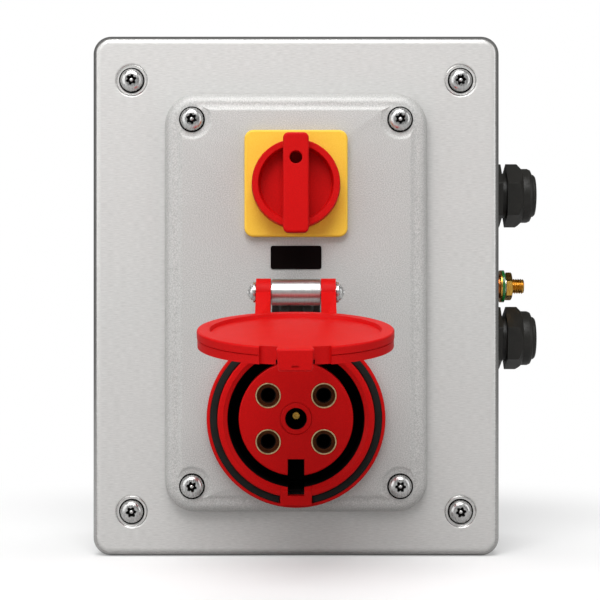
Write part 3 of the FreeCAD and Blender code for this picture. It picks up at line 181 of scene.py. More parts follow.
class Recipes:
    """The rules by which repeated and wound pieces are made."""

    def __init__(self) -> None:
        """Build the trees."""
        self.corners = self.copies_at_corners()
        self.row = self.copies_in_a_row()
        self.thread = self.wound_thread()
        self.bead = self.bead_along_an_arc()

    @staticmethod
    def copies_at_corners() -> Recipe:
        """Copy a mesh to the four corners of an upright rectangle, each turned by chance."""
        recipe = Recipe("Copies at four corners", Width="Float", Height="Float", Centre="Vector",
                        Turn="Float", Seed="Int")
        points = recipe.add("GeometryNodeMeshGrid", {
            "Size X": "Width", "Size Y": "Height", "Vertices X": 2,
            "Vertices Y": 2})
        upright = recipe.add("GeometryNodeTransform", {
            "Geometry": points, "Translation": "Centre",
            "Rotation": (math.radians(90), 0.0, 0.0)})
        chance = recipe.add("FunctionNodeRandomValue", {
            "2": 0.0, "3": "Turn", "Seed": "Seed"}, data_type="FLOAT")
        turn = recipe.add("ShaderNodeCombineXYZ", {"Y": chance})
        copies = recipe.add("GeometryNodeInstanceOnPoints", {
            "Points": upright, "Instance": "Geometry",
            "Rotation": turn})
        return recipe.end(copies)

    @staticmethod
    def copies_in_a_row() -> Recipe:
        """Copy a mesh along a line, each turned on from the one before."""
        recipe = Recipe("Copies in a row", Count="Int", First="Vector", Step="Vector", Turn="Vector")
        points = recipe.add("GeometryNodeMeshLine", {
            "Count": "Count", "Start Location": "First",
            "Offset": "Step"}, mode="OFFSET")
        index = recipe.add("GeometryNodeInputIndex")
        turn = recipe.add("ShaderNodeVectorMath", {"0": "Turn", "Scale": index}, operation="SCALE")
        copies = recipe.add("GeometryNodeInstanceOnPoints", {
            "Points": points, "Instance": "Geometry",
            "Rotation": turn})
        return recipe.end(copies)

    @staticmethod
    def wound_thread() -> Recipe:
        """Wind a screw thread round a rod that lies along X, with its ends run out and chamfered."""
        recipe = Recipe("Thread wound round a rod", Radius="Float", Ridge="Float", Pitch="Float",
                        Length="Float", Centre="Vector")
        rod = recipe.add("GeometryNodeMeshCylinder", {
            "Vertices": 48, "Side Segments": 160, "Radius": "Radius",
            "Depth": "Length"})
        place = recipe.add("GeometryNodeInputPosition")
        parts = recipe.add("ShaderNodeSeparateXYZ", {"Vector": place})

        known = {"x": parts.outputs["X"], "y": parts.outputs["Y"], "z": parts.outputs["Z"],
                 "pitch": "Pitch", "ridge": "Ridge", "length": "Length"}
        for result, operation, *terms in (
                ("angle", "ARCTAN2", "y", "x"), ("share", "DIVIDE", "angle", math.tau),
                ("along", "DIVIDE", "z", "pitch"), ("turns", "SUBTRACT", "along", "share"),
                ("flank", "PINGPONG", "turns", 0.5), ("double", "MULTIPLY", "flank", 2.0),
                ("crest", "SMOOTH_MAX", 0.12, "double", 0.1), ("root", "SUBTRACT", 1.0, "crest"),
                ("cut", "MULTIPLY", "root", "ridge"), ("half", "MULTIPLY", "length", 0.5),
                ("off", "ABSOLUTE", "z"), ("rest", "SUBTRACT", "half", "off"),
                ("lead", "SUBTRACT", "ridge", "rest"), ("deep", "MAXIMUM", "cut", "lead"),
                ("depth", "MULTIPLY", "deep", -1.0)):
            links = {str(index): known.get(term, term) for index, term in enumerate(terms)}
            known[result] = recipe.add("ShaderNodeMath", links, operation=operation)
        flat = recipe.add("ShaderNodeCombineXYZ", {"X": parts.outputs["X"], "Y": parts.outputs["Y"]})
        away = recipe.add("ShaderNodeVectorMath", {"0": flat}, operation="NORMALIZE")
        shift = recipe.add("ShaderNodeVectorMath", {"0": away, "Scale": known["depth"]}, operation="SCALE")
        wound = recipe.add("GeometryNodeSetPosition", {"Geometry": rod, "Offset": shift})
        lying = recipe.add("GeometryNodeTransform", {
            "Geometry": wound, "Translation": "Centre",
            "Rotation": (0.0, math.radians(90), 0.0)})
        return recipe.end(lying)

    @staticmethod
    def bead_along_an_arc() -> Recipe:
        """Draw a soft-edged bead along an arc that faces the viewer."""
        recipe = Recipe("Bead along an arc", Radius="Float", Start="Float", Sweep="Float", Width="Float",
                        Height="Float", Round="Float", Centre="Vector")
        arc = recipe.add("GeometryNodeCurveArc", {
            "Resolution": 180, "Radius": "Radius", "Start Angle": "Start",
            "Sweep Angle": "Sweep"})
        level = recipe.add("GeometryNodeSetCurveNormal", {"Curve": arc}, mode="Z_UP")
        section = recipe.add("GeometryNodeCurvePrimitiveQuadrilateral", {
            "Width": "Width", "Height": "Height"})
        soft = recipe.add("GeometryNodeFilletCurve", {
            "Curve": section, "Radius": "Round", "Count": 4}, mode="POLY")
        bead = recipe.add("GeometryNodeCurveToMesh", {
            "Curve": level, "Profile Curve": soft, "Fill Caps": True})
        facing = recipe.add("GeometryNodeTransform", {
            "Geometry": bead, "Translation": "Centre",
            "Rotation": (math.radians(90), 0.0, 0.0)})
        return recipe.end(facing)


@dataclass(frozen=True)
class SoftBox:
    """One flat lamp."""

    name: str
    place_m: tuple[float, float, float]
    size_m: tuple[float, float]
    watts: float
    mirrored: bool = True  # Whether shiny surfaces show it
    aim_m: tuple[float, float, float] = (0.0, -0.12, 0.0)  # The point that it faces

    def hang(self) -> None:
        """Hang the lamp in the scene."""
        data = bpy.data.lights.new(self.name, "AREA")
        data.shape = "RECTANGLE"
        data.size, data.size_y = self.size_m
        data.energy = self.watts
        lamp = put(self.name, data)
        lamp.location = self.place_m
        lamp.visible_glossy = self.mirrored
        aim = Vector(self.aim_m) - lamp.location
        lamp.rotation_euler = aim.to_track_quat("-Z", "Y").to_euler()


@dataclass(frozen=True)
class Studio:
    """White floor and backdrop, soft lamps and the camera of the photograph."""

    lens_mm: float = 97.7  # Focal length on the 36 mm frame
    distance_mm: float = 1000.0  # From the lens to the cover's front plane
    cover_front_mm: float = 120.0  # Depth of that plane from the wall
    eye_mm: tuple[float, float] = (2.4, -2.5)  # The camera's offset along X and Z
    floor_z_mm: float = -160.0  # The level that the box stands on
    floor_reach_m: float = 6.0  # Half the floor's side
    shadow_near_m: float = 0.22  # Distance from the box within which the floor shows its shadow in full
    shadow_far_m: float = 0.42  # Distance at which the floor has become plain white
    floor_lift: float = 0.30  # Light that the floor adds to what the camera sees of it
    floor_greys: tuple[float, float] = (0.60, 0.45)  # The floor's grey to the camera and to other rays
    room: float = 0.31  # Strength of the room's light
    room_dark: float = 0.45  # Grey of the room's far and low parts
    room_ahead: tuple[float, float] = (0.8, -0.2)  # Directions along Y between which the room brightens
    room_above: tuple[float, float] = (-0.5, 0.7)  # The same along Z
    room_low: float = 0.35  # Share of that brightness that is left below
    lamps: tuple[SoftBox, ...] = (
        SoftBox("Key", (-0.20, -1.45, 1.62), (1.4, 1.4), 41.0),
        SoftBox("Back", (0.0, 0.30, 1.50), (1.0, 1.0), 10.0, False),
        SoftBox("Left", (-1.05, -0.95, 0.2), (1.2, 1.6), 7.2),
        SoftBox("Right", (1.10, -0.80, 0.2), (0.6, 1.6), 3.9),
    )

    def build(self) -> None:
        """Make the camera, the floor, the backdrop and the lamps."""
        self.camera()
        self.floor()
        self.backdrop()
        for lamp in self.lamps:
            lamp.hang()

    def camera(self) -> None:
        """Make the camera and set it as the scene's."""
        data = bpy.data.cameras.new("Camera")
        data.lens = self.lens_mm
        data.sensor_width = 36.0
        eye = put("Camera", data)
        eye.location = (self.eye_mm[0] * MM, -(self.cover_front_mm + self.distance_mm) * MM,
                        self.eye_mm[1] * MM)
        eye.rotation_euler = (math.radians(90), 0.0, 0.0)
        bpy.context.scene.camera = eye

    def floor(self) -> None:
        """Make the white floor that shows only the object's shadow."""
        mesh = bpy.data.meshes.new("Floor")
        reach, level = self.floor_reach_m, self.floor_z_mm * MM - 0.0002
        corners = [(across * reach, along * reach, level)
                   for across, along in ((-1, -1), (1, -1), (1, 1), (-1, 1))]
        mesh.from_pydata(corners, [], [(0, 1, 2, 3)])
        floor = put("Floor", mesh)
        material = bpy.data.materials.new("White studio floor")
        material.use_nodes = True
        tree = Tree(material.node_tree)
        matt = tree.add("ShaderNodeBsdfDiffuse", {"Color": (*[self.floor_greys[0]] * 3, 1.0)})
        glow = tree.add("ShaderNodeEmission", {"Color": WHITE, "Strength": self.floor_lift})
        near = tree.add("ShaderNodeAddShader", {"0": matt, "1": glow})
        white = tree.add("ShaderNodeEmission", {"Color": WHITE, "Strength": 1.0})
        place = tree.add("ShaderNodeTexCoord")
        centred = tree.add("ShaderNodeVectorMath", {"0": place.outputs["Object"], "1": (0.0, 0.07, -level)},
                           operation="ADD")
        away = tree.add("ShaderNodeVectorMath", {"0": centred}, operation="LENGTH")
        fade = tree.add("ShaderNodeMapRange", {
            "Value": away, "From Min": self.shadow_near_m, "From Max": self.shadow_far_m},
            interpolation_type="SMOOTHSTEP")
        shown = tree.add("ShaderNodeMixShader", {"0": fade, "1": near, "2": white})
        path = tree.add("ShaderNodeLightPath")
        grey = tree.add("ShaderNodeBsdfDiffuse", {"Color": (*[self.floor_greys[1]] * 3, 1.0)})
        mix = tree.add("ShaderNodeMixShader", {"0": path.outputs["Is Camera Ray"], "1": grey, "2": shown})
        tree.add("ShaderNodeOutputMaterial", {"Surface": mix})
        mesh.materials.append(material)

    def backdrop(self) -> None:
        """Make a white backdrop behind the object, and a room that is bright in front of it and above."""
        world = bpy.data.worlds.new("Studio")
        world.use_nodes = True
        bpy.context.scene.world = world
        tree = Tree(world.node_tree)
        place = tree.add("ShaderNodeTexCoord")
        parts = tree.add("ShaderNodeSeparateXYZ", {"Vector": place.outputs["Generated"]})
        ahead = tree.add("ShaderNodeMapRange", {
            "Value": parts.outputs["Y"], "From Min": self.room_ahead[0], "From Max": self.room_ahead[1]})
        above = tree.add("ShaderNodeMapRange", {
            "Value": parts.outputs["Z"], "From Min": self.room_above[0], "From Max": self.room_above[1],
            "To Min": self.room_low, "To Max": 1.0}, interpolation_type="SMOOTHSTEP")
        level = tree.add("ShaderNodeMath", {"0": ahead, "1": above}, operation="MULTIPLY")
        sky = tree.add("ShaderNodeMix", {"0": level, "6": (*[self.room_dark] * 3, 1.0), "7": WHITE},
                       data_type="RGBA")
        soft = tree.add("ShaderNodeBackground", {"Color": sky, "Strength": self.room})
        white = tree.add("ShaderNodeBackground", {"Color": WHITE, "Strength": 1.0})
        path = tree.add("ShaderNodeLightPath")
        mix = tree.add("ShaderNodeMixShader", {"0": path.outputs["Is Camera Ray"], "1": soft, "2": white})
        tree.add("ShaderNodeOutputWorld", {"Surface": mix})


@dataclass(frozen=True)
class Grain:
    """A noise pattern by real size."""

    size_mm: float | tuple[float, float, float]  # How far apart its grains lie along X, Y and Z
    detail: float = 3.0  # Octaves of the noise

    def spread(self, tree: Tree, low: float, high: float) -> bpy.types.Node:
        """Add the pattern to a tree.

        Args:
            tree: the tree to add to.
            low: the pattern's lowest value.
            high: its highest value.

        Returns:
            The node that gives the pattern.
        """
        place = tree.add("ShaderNodeTexCoord")
        sizes = self.size_mm if isinstance(self.size_mm, tuple) else (self.size_mm,) * 3
        scale = tuple(1.0 / (size * MM) for size in sizes)
        mapping = tree.add("ShaderNodeMapping", {"Vector": place.outputs["Object"], "Scale": scale})
        noise = tree.add("ShaderNodeTexNoise", {"Vector": mapping, "Scale": 1.0,
                                                "Detail": self.detail, "Roughness": 0.6})
        level = tree.add("ShaderNodeMapRange", {"Value": noise, "From Min": 0.32,
                                                "From Max": 0.68, "To Min": low, "To Max": high})
        return level


@dataclass(frozen=True)
class Finish:
    """One surface finish: a base colour with grain in its colour, its gloss and its relief."""

    name: str
    slot: str  # The slot that it belongs to; nothing here reads it
    dark: str  # SRGB hex of the grain's dark side
    light: str  # SRGB hex of the grain's light side
    metallic: float  # 1 for bare metal, 0 for plastic and rubber
    roughness: tuple[float, float]  # Lowest and highest roughness over the grain
    grain: Grain  # The fine pattern
    relief_mm: float  # Depth of the fine pattern
    cloud: Grain  # A broad, faint pattern that dulls colour and gloss in patches
    cloud_depth: float = 0.06  # How far the patches darken the colour
    specular: float = 0.5  # Specular level, 0.5 for a plain plastic
    coat: float = 0.0  # Weight of a clear, glossier skin
    bend: float = 0.0  # Roughness of the bends, which the press has burnished; 0 if there are none

    def build(self) -> bpy.types.Material:
        """Make the material."""
        material = bpy.data.materials.new(self.name)
        material.use_nodes = True
        tree = Tree(material.node_tree)
        fine = self.grain.spread(tree, 0.0, 1.0)
        base = tree.add("ShaderNodeMix", {"0": fine, "6": linear(self.dark), "7": linear(self.light)},
                        data_type="RGBA")
        patch = self.cloud.spread(tree, 1.0 - self.cloud_depth, 1.0)
        shade = tree.add("ShaderNodeVectorMath", {"0": base, "Scale": patch}, operation="SCALE")
        gloss = tree.add("ShaderNodeMapRange", {"Value": fine, "To Min": self.roughness[0],
                                                "To Max": self.roughness[1]})
        worn = tree.add("ShaderNodeMath", {"0": gloss, "1": patch}, operation="DIVIDE")
        bump = tree.add("ShaderNodeBump", {"Height": fine, "Strength": 1.0, "Distance": self.relief_mm * MM})
        metal, rough = self.metallic, worn
        if self.bend:
            place = tree.add("ShaderNodeTexCoord")
            facing = tree.add("ShaderNodeSeparateXYZ", {"Vector": place.outputs["Normal"]})
            away = tree.add("ShaderNodeMapRange", {"Value": facing.outputs["Y"], "From Min": BENT[0],
                                                   "From Max": BENT[1]})
            metal = tree.add("ShaderNodeMapRange", {"Value": away, "To Min": self.metallic, "To Max": 1.0})
            rough = tree.add("ShaderNodeMix", {"0": away, "2": rough, "3": self.bend})
        shader = tree.add("ShaderNodeBsdfPrincipled", {
            "Base Color": shade, "Metallic": metal, "Roughness": rough,
            "Normal": bump.outputs["Normal"], "Specular IOR Level": self.specular,
            "Coat Weight": self.coat, "Coat Roughness": 0.12})
        tree.add("ShaderNodeOutputMaterial", {"Surface": shader})
        return material


class Surface(Enum):
    """The finishes that the object shows.

    Real scratches, pits and mould textures are finer than a pixel here, so they are drawn 0.5 to 1.5 mm apart.
    """

    # Belt-ground sheet: long level scratches that spread each reflection into an even, soft sheen.
    BRUSHED = Finish("Brushed stainless sheet", "brushed_stainless", "#C5C4C2", "#D6D5D3", 0.35, (0.42, 0.50),
                     Grain((4.0, 4.0, 0.5), 3.0), 0.0015, Grain((90.0, 90.0, 26.0)), 0.02, bend=0.22)
    # Bead-blasted pressing: a fine, even pitting that scatters light and looks a little darker and matt.
    BLASTED = Finish("Bead-blasted stainless pressing", "blasted_stainless", "#A6A6A4", "#CFCECC", 0.35,
                     (0.50, 0.60), Grain(0.6, 2.0), 0.045, Grain(34.0), 0.03)
    # Polished turning: mirror bright, with faint tool rings that blur it slightly.
    POLISHED = Finish("Polished stainless turning", "polished_stainless", "#C4C4C3", "#DCDCDB", 1.0,
                      (0.22, 0.30), Grain((0.8, 4.0, 4.0), 2.0), 0.004, Grain(6.0))
    # Drawn tube: smooth, but its fine draw marks blur what it mirrors into soft bands.
    DRAWN = Finish("Drawn stainless tube", "polished_stainless", "#C8C8C7", "#DADAD8", 1.0, (0.30, 0.36),
                   Grain((0.6, 5.0, 5.0), 2.0), 0.003, Grain(6.0))
    # Injection-moulded polyamide: deep colour under a fine spark-eroded texture and a low sheen.
    RED = Finish("Red moulded polyamide", "red_plastic", "#BC0809", "#CA0C0D", 0.0, (0.42, 0.52),
                 Grain(0.6, 2.0), 0.008, Grain(18.0), 0.04, 0.10)
    # Moulded polycarbonate: clean, warm colour and a satin skin.
    YELLOW = Finish("Yellow moulded polycarbonate", "yellow_plastic", "#EDBE35", "#F3C645", 0.0, (0.40, 0.50),
                    Grain(0.6, 2.0), 0.014, Grain(20.0), 0.04, 0.30)
    # Glass-filled polyamide: nearly black, with a satin sheen along every edge.
    BLACK = Finish("Black glass-filled polyamide", "black_plastic", "#14130F", "#211F1B", 0.0, (0.34, 0.46),
                   Grain(0.7, 2.0), 0.02, Grain(9.0), 0.10, 0.40)
    # Painted shade: matt near-black laid where deep shade falls, in the socket's cup, keyway channel and
    # contact base, on skins in the keyway, the pilot's recess and the contacts' bores, in the screws' drives,
    # and as rings of painted shadow round the screw heads.
    SHADE = Finish("Painted shade, matt black", "black_plastic", "#060505", "#0C0A09", 0.0, (0.70, 0.85),
                   Grain(0.8, 2.0), 0.01, Grain(12.0), 0.10, 0.15)
    # Dyed aluminium: flat black with hardly any sheen.
    LABEL = Finish("Black anodised label plate", "black_label", "#060202", "#0C0505", 0.0, (0.62, 0.72),
                   Grain(0.8, 2.0), 0.006, Grain(8.0), 0.08, 0.04)
    # Moulded elastomer: dull dark grey with a dusty bloom.
    RUBBER = Finish("Black sealing rubber", "black_rubber", "#0F100F", "#1D1E1B", 0.0, (0.70, 0.84),
                    Grain(0.7, 3.0), 0.03, Grain(12.0), 0.10, 0.25)
    # Bar-turned brass: warm, bright and slightly ringed by the tool.
    BRASS = Finish("Turned brass", "brass", "#C98F32", "#EBC062", 1.0, (0.20, 0.32),
                   Grain((0.6, 2.4, 2.4), 2.0), 0.008, Grain(5.0))
    # Tinned brass on the sleeves' rims: paler than the bare metal and bright all round.
    TINNED = Finish("Tinned brass rim", "brass", "#D9C187", "#F1E3B9", 1.0, (0.30, 0.40),
                    Grain(1.2, 2.0), 0.006, Grain(5.0))
    # Brass inside the sleeves: darkened to brown with painted shade for the deep throat, duller than the rim.
    BROWNED = Finish("Brass bore in painted shade", "brass", "#4A2210", "#74401C", 0.8, (0.38, 0.52),
                     Grain((1.4, 1.4, 0.5), 2.0), 0.01, Grain(4.0), 0.15)
    # Copper alloy spacer: redder than the brass round it.
    BRONZE = Finish("Bronze spacer tube", "brass", "#A55A2C", "#C77B40", 1.0, (0.24, 0.34),
                    Grain((0.6, 2.4, 2.4), 2.0), 0.008, Grain(5.0))
    # Lacquer over a steel disc: glossy, clear green.
    GREEN = Finish("Green lacquered washer", "green_washer", "#166F2C", "#228A3B", 0.0, (0.20, 0.30),
                   Grain(0.9, 2.0), 0.008, Grain(6.0), 0.06, 0.5, 0.5)
    # Galvanised steel inside the box: pale, blotched and half matt.
    ZINC = Finish("Zinc-plated steel", "zinc_steel", "#9FA2A6", "#B7BABD", 0.9, (0.30, 0.42),
                  Grain(1.5, 3.0), 0.008, Grain(6.0), 0.12)


def mesh_of(made: Form, name: str) -> Mesh:
    """Write a closed form to a mesh, smooth but for its real edges.

    Args:
        made: the form, which is freed.
        name: the mesh's name.

    Returns:
        The mesh.
    """
    for face in made.faces:
        face.smooth = True
    for edge in made.edges:
        edge.smooth = not (edge.is_manifold and edge.calc_face_angle(0.0) > SHARP)
    mesh = bpy.data.meshes.new(name)
    made.to_mesh(mesh)
    made.free()
    return mesh


def turned(name: str, rings: Sequence[Ring], place: Matrix, steps: int = 72,
           closed: bool = False) -> Mesh:
    """Turn a form from its rings.

    Args:
        name: the mesh's name.
        rings: the rings from one end to the other.
        place: where the form's axis and foot lie.
        steps: corners on each ring.
        closed: whether the last ring joins the first, as on a tube.

    Returns:
        The mesh.
    """
    made = bmesh.new()
    rows = []
    for radius, height, *lobe in rings:
        angles = [math.tau * step / steps for step in range(steps if radius > 0 else 1)]
        reach = [radius + sum(lobe) * math.cos(6 * angle) for angle in angles]
        spots = [Vector((out * math.cos(turn), out * math.sin(turn), height))
                 for out, turn in zip(reach, angles)]
        rows.append([made.verts.new(place @ (spot * MM)) for spot in spots])
    pairs = list(zip(rows, rows[1:])) + ([(rows[-1], rows[0])] if closed else [])
    for low, high in pairs:
        for step in range(steps):
            after = (step + 1) % steps
            corners = (low[step % len(low)], low[after % len(low)], high[after % len(high)],
                       high[step % len(high)])
            kept = list(dict.fromkeys(corners))
            if len(kept) > 2:
                made.faces.new(kept)
    bmesh.ops.recalc_face_normals(made, faces=made.faces)
    return mesh_of(made, name)


def merged(node: str, whole: bool = True) -> Form:
    """Copy a solid's mesh as one closed skin.

    Args:
        node: the solid's name.
        whole: whether the triangles of a flat face become one face.

    Returns:
        The skin.
    """
    made = bmesh.new()
    made.from_mesh(frame["nodes"][node].data)
    bmesh.ops.remove_doubles(made, verts=made.verts, dist=0.01 * MM)
    if whole:
        bmesh.ops.dissolve_limit(made, angle_limit=math.radians(1.0), verts=made.verts, edges=made.edges)
    return made


def body_of_node(node: str) -> str:
    """Give the body that a solid belongs to."""
    bodies = frame["record"]["behaviour"]["bodies"]
    return next(body for body, members in bodies.items() if node in members)


@cache
def box_of(node: str) -> tuple[Vector, Vector]:
    """Give the lowest and highest corner of a solid's box, in metres."""
    low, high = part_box(node)
    return Vector(low), Vector(high)


@dataclass(frozen=True)
class Softening:
    """Edges of a solid that are rounder than its others."""

    picks: Callable[[Edge], bool]  # Tells whether an edge is one of them
    width_mm: float  # How far the round reaches from the edge
    segments: int = 4  # Faces across the round


class Workshop:
    """Turns meshes into dressed pieces of the object."""

    def __init__(self) -> None:
        """Set out the rules and an empty shelf of finishes."""
        self.recipes = Recipes()
        self.made: dict[Surface, bpy.types.Material] = {}

    def finish(self, surface: Surface) -> bpy.types.Material:
        """Give a finish's material, made when it is first asked for."""
        if surface not in self.made:
            self.made[surface] = surface.value.build()
        return self.made[surface]

    def place(self, name: str, mesh: Mesh, surface: Surface, node: str) -> bpy.types.Object:
        """Add one piece to the scene.

        Args:
            name: the piece's name.
            mesh: its mesh, in the frame.
            surface: its finish.
            node: the solid that it stands for and moves with.

        Returns:
            The new object.
        """
        mesh.materials.clear()
        mesh.materials.append(self.finish(surface))
        piece = put(name, mesh)
        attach(piece, body_of_node(node))
        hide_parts(node)
        LOG.info("%s: %d faces in %s", name, len(mesh.polygons), surface.value.name)
        return piece

    def grow(self, name: str, recipe: Recipe, seed: Mesh, surface: Surface, node: str,
             **values: object) -> bpy.types.Object:
        """Add a piece that a rule makes from a mesh.

        Args:
            name: the piece's name.
            recipe: the rule.
            seed: the mesh that it starts from.
            surface: its finish.
            node: the solid that it stands for.
            values: the rule's inputs.

        Returns:
            The new object.
        """
        values["Finish"] = self.finish(surface)
        grown = recipe.grow(seed, values)
        made = bmesh.new()
        made.from_mesh(grown)
        bmesh.ops.recalc_face_normals(made, faces=made.faces)
        return self.place(name, mesh_of(made, name), surface, node)

    def four(self, node: str, reach_mm: float, front_mm: float,
             forms: Sequence[tuple[str, Sequence[Ring], Surface, bool]], steps: int, turn: float = 0.0,
             seed: int = 0) -> None:
        """Set four copies of each of some turned forms where a solid has its four pieces.

        Args:
            node: the solid.
            reach_mm: the radius of one of its pieces.
            front_mm: how far the forms' height 0 lies behind the solid's front.
            forms: each form's name, rings and finish, and whether its last ring joins the first.
            steps: corners on each ring.
            turn: the largest turn by chance.
            seed: chooses those turns.
        """
        low, high = box_of(node)
        width, height = (high[0] - low[0]) - 2 * reach_mm * MM, (high[2] - low[2]) - 2 * reach_mm * MM
        centre = Vector(((low[0] + high[0]) / 2, low[1] + front_mm * MM, (low[2] + high[2]) / 2))
        for name, rings, surface, closed in forms:
            one = turned(f"{name}_one", rings, OUTWARD, steps, closed)
            self.grow(name, self.recipes.corners, one, surface, node, Width=width, Height=height,
                      Centre=centre, Turn=turn, Seed=seed)

    def rounded(self, node: str, surface: Surface, edge_mm: float, *softer: Softening,
                shaped: Callable[[Form], None] | None = None) -> bpy.types.Object:
        """Show a solid with its edges broken by small rounds.

        Args:
            node: the solid's name.
            surface: its finish.
            edge_mm: the edges' radius, 0 for a solid whose own rounds are enough.
            softer: edges that get a larger round.
            shaped: a further change to the form, made before the rounds.

        Returns:
            The piece.
        """
        made = merged(node, edge_mm > 0)
        if shaped is not None:
            shaped(made)
        for rule in softer:
            edges = [edge for edge in made.edges if edge.is_manifold
                     and edge.calc_face_angle(0.0) > SHARP / 2 and rule.picks(edge)]
            bmesh.ops.bevel(made, geom=edges, offset=rule.width_mm * MM, offset_type="OFFSET",
                            segments=rule.segments, profile=0.5, affect="EDGES", clamp_overlap=True)
        piece = self.place(f"{node}_shown", mesh_of(made, node), surface, node)
        if edge_mm > 0:
            bevel = piece.modifiers.new("Edges", "BEVEL")
            bevel.width = edge_mm * MM
            bevel.segments = 2
            bevel.limit_method = "ANGLE"
            bevel.angle_limit = SHARP
        even = piece.modifiers.new("Flat faces", "WEIGHTED_NORMAL")
        even.keep_sharp = True
        even.weight = 60
        return piece

    def lined(self, name: str, node: str, surface: Surface, picks: Callable[[Face], bool],
              skin_mm: float = 0.1) -> bpy.types.Object:
        """Lay a thin skin over some faces of a solid.

        Args:
            name: the skin's name.
            node: the solid.
            surface: the skin's finish.
            picks: tells whether a face gets it.
            skin_mm: how far the skin stands off the solid.

        Returns:
            The skin.
        """
        made = merged(node)
        bmesh.ops.delete(made, geom=[face for face in made.faces if not picks(face)], context="FACES")
        made.normal_update()
        for corner, out in [(corner, corner.normal.copy()) for corner in made.verts]:
            corner.co += out * skin_mm * MM
        bmesh.ops.solidify(made, geom=made.faces[:], thickness=skin_mm * MM / 2)
        bmesh.ops.recalc_face_normals(made, faces=made.faces)
        return self.place(name, mesh_of(made, name), surface, node)

    def paint(self, surface: Surface, *nodes: str) -> None:
        """Give solids that are shown as they are their finish."""
        for node in nodes:
            shown = frame["nodes"][node].data
            shown.materials.clear()
            shown.materials.append(self.finish(surface))
            LOG.info("%s: the solid, in %s", node, surface.value.name)


@dataclass(frozen=True)
class ButtonScrew:
    """Button-head screw with a six-lobe drive and a centre pin, seat at height 0, with painted shade in its
    drive and a ring of painted shadow under its head.
    """

    reach: float = 7.5  # The solid head's radius in mm
    head: float = 7.0  # The dome's radius in mm
    high: float = 4.2
    crown: float = 3.35  # Radius at which the dome meets the drive, in mm
    foot: float = 0.9  # Height of the head's plain side in mm
    shank: float = 4.0  # The shank's radius in mm
    below: float = 12.5  # The shank's length in mm
    drive: float = 2.7  # The drive's mean radius in mm
    lobe: float = 0.5  # The drive's swing in mm
    deep: float = 2.4
    seal: float = 7.85  # Outer radius of the dark ring of painted shadow under the head, in mm
    seal_high: float = 0.4  # Height of that ring of painted shadow in mm

    def metal(self) -> list[Ring]:
        """Give the screw's rings from its tip to its drive."""
        floor = self.high - self.deep
        dome = [(self.crown + (self.head - self.crown) * math.cos(turn),
                     self.foot + (self.high - self.foot) * math.sin(turn))
                for turn in (math.radians(step * 10) for step in range(10))]
        return [
            (0.0, -self.below), (self.shank - 0.8, -self.below), (self.shank, -self.below + 0.8),
            (self.shank, 0.0), (self.head - 0.2, 0.0), (self.head, 0.2), *dome,
            (self.drive + 0.25, self.high, self.lobe), (self.drive + 0.1, self.high - 0.15, self.lobe),
            (self.drive, self.high - 0.4, self.lobe), (self.drive - 0.1, floor, self.lobe * 0.9),
            (1.05, floor), (1.0, self.high - 0.8), (0.7, self.high - 0.55),
            (0.0, self.high - 0.45),
        ]

    def shade(self) -> list[Ring]:
        """Give the rings of the skin of painted shade that lines the drive."""
        rim, floor, wall, drive, lobe = self.high - 0.22, self.high - self.deep, 0.05, self.drive, self.lobe
        return [
            (drive + 0.02, rim, lobe), (drive - 0.12, floor + wall, lobe * 0.9),
            (1.1, floor + wall), (1.1, floor + 2 * wall),
            (drive - 0.12 - wall, floor + 2 * wall, lobe * 0.9),
            (drive - wall, rim, lobe),
        ]

    def ring(self) -> list[Ring]:
        """Give the rings of the dark ring under the head, a painted shadow where head and dimple meet."""
        inner = self.head - 0.1
        return [
            (inner, 0.0), (self.seal, 0.0), (self.seal, self.seal_high - 0.15),
            (self.seal - 0.15, self.seal_high), (inner, self.seal_high),
        ]

    def four(self, shop: Workshop, node: str, seed: int) -> None:
        """Set four screws where a solid has them.

        Args:
            shop: the workshop.
            node: the solid with the four screws.
            seed: chooses how far each one is turned.
        """
        # The drives' skins are painted shade and the dark rings round the heads are painted shadow.
        shop.four(node, self.reach, self.high, (
            (f"{node}_shown", self.metal(), Surface.POLISHED, False),
            (f"{node}_drive_shade", self.shade(), Surface.SHADE, True),
            (f"{node}_shadow_rings", self.ring(), Surface.SHADE, True)), 72, math.radians(60), seed)


@dataclass(frozen=True)
class Enclosure:
    """Back box and front cover with its four screws in dimples."""

    bend_mm: float = 0.4  # Round on the box's outer edges that the solid leaves sharp
    edge_mm: float = 0.3  # Round on the cover's cut edges
    dimple_mm: tuple[float, float] = (8.0, 13.0)  # The radii round each screw between which edges are soft
    dimple_soft_mm: float = 1.1  # Round of the dimple's rim and foot
    front_mm: float = 120.0  # Depth of the cover's front

    def build(self, shop: Workshop) -> None:
        """Dress the box, the cover and what holds them together."""
        shop.rounded("back_box", Surface.BRUSHED, self.bend_mm)
        screw = ButtonScrew()
        corner_screw = box_of("cover_screws")[1] - Vector((1.0, 0.0, 1.0)) * screw.reach * MM

        def on_dimple(edge: Edge) -> bool:
            """Tell whether an edge belongs to a dimple's rim or foot."""
            away = [math.hypot(abs(corner.co.x) - corner_screw.x, abs(corner.co.z) - corner_screw.z) / MM
                    for corner in edge.verts]
            return (all(self.dimple_mm[0] < reach < self.dimple_mm[1] for reach in away)
                    and all(corner.co.y < -(self.front_mm - 1.2) * MM for corner in edge.verts))

        shop.rounded("front_cover", Surface.BRUSHED, self.edge_mm, Softening(on_dimple, self.dimple_soft_mm))
        screw.four(shop, "cover_screws", 3)
        shop.paint(Surface.ZINC, "cover_nuts")
        shop.paint(Surface.RUBBER, "cover_gasket")


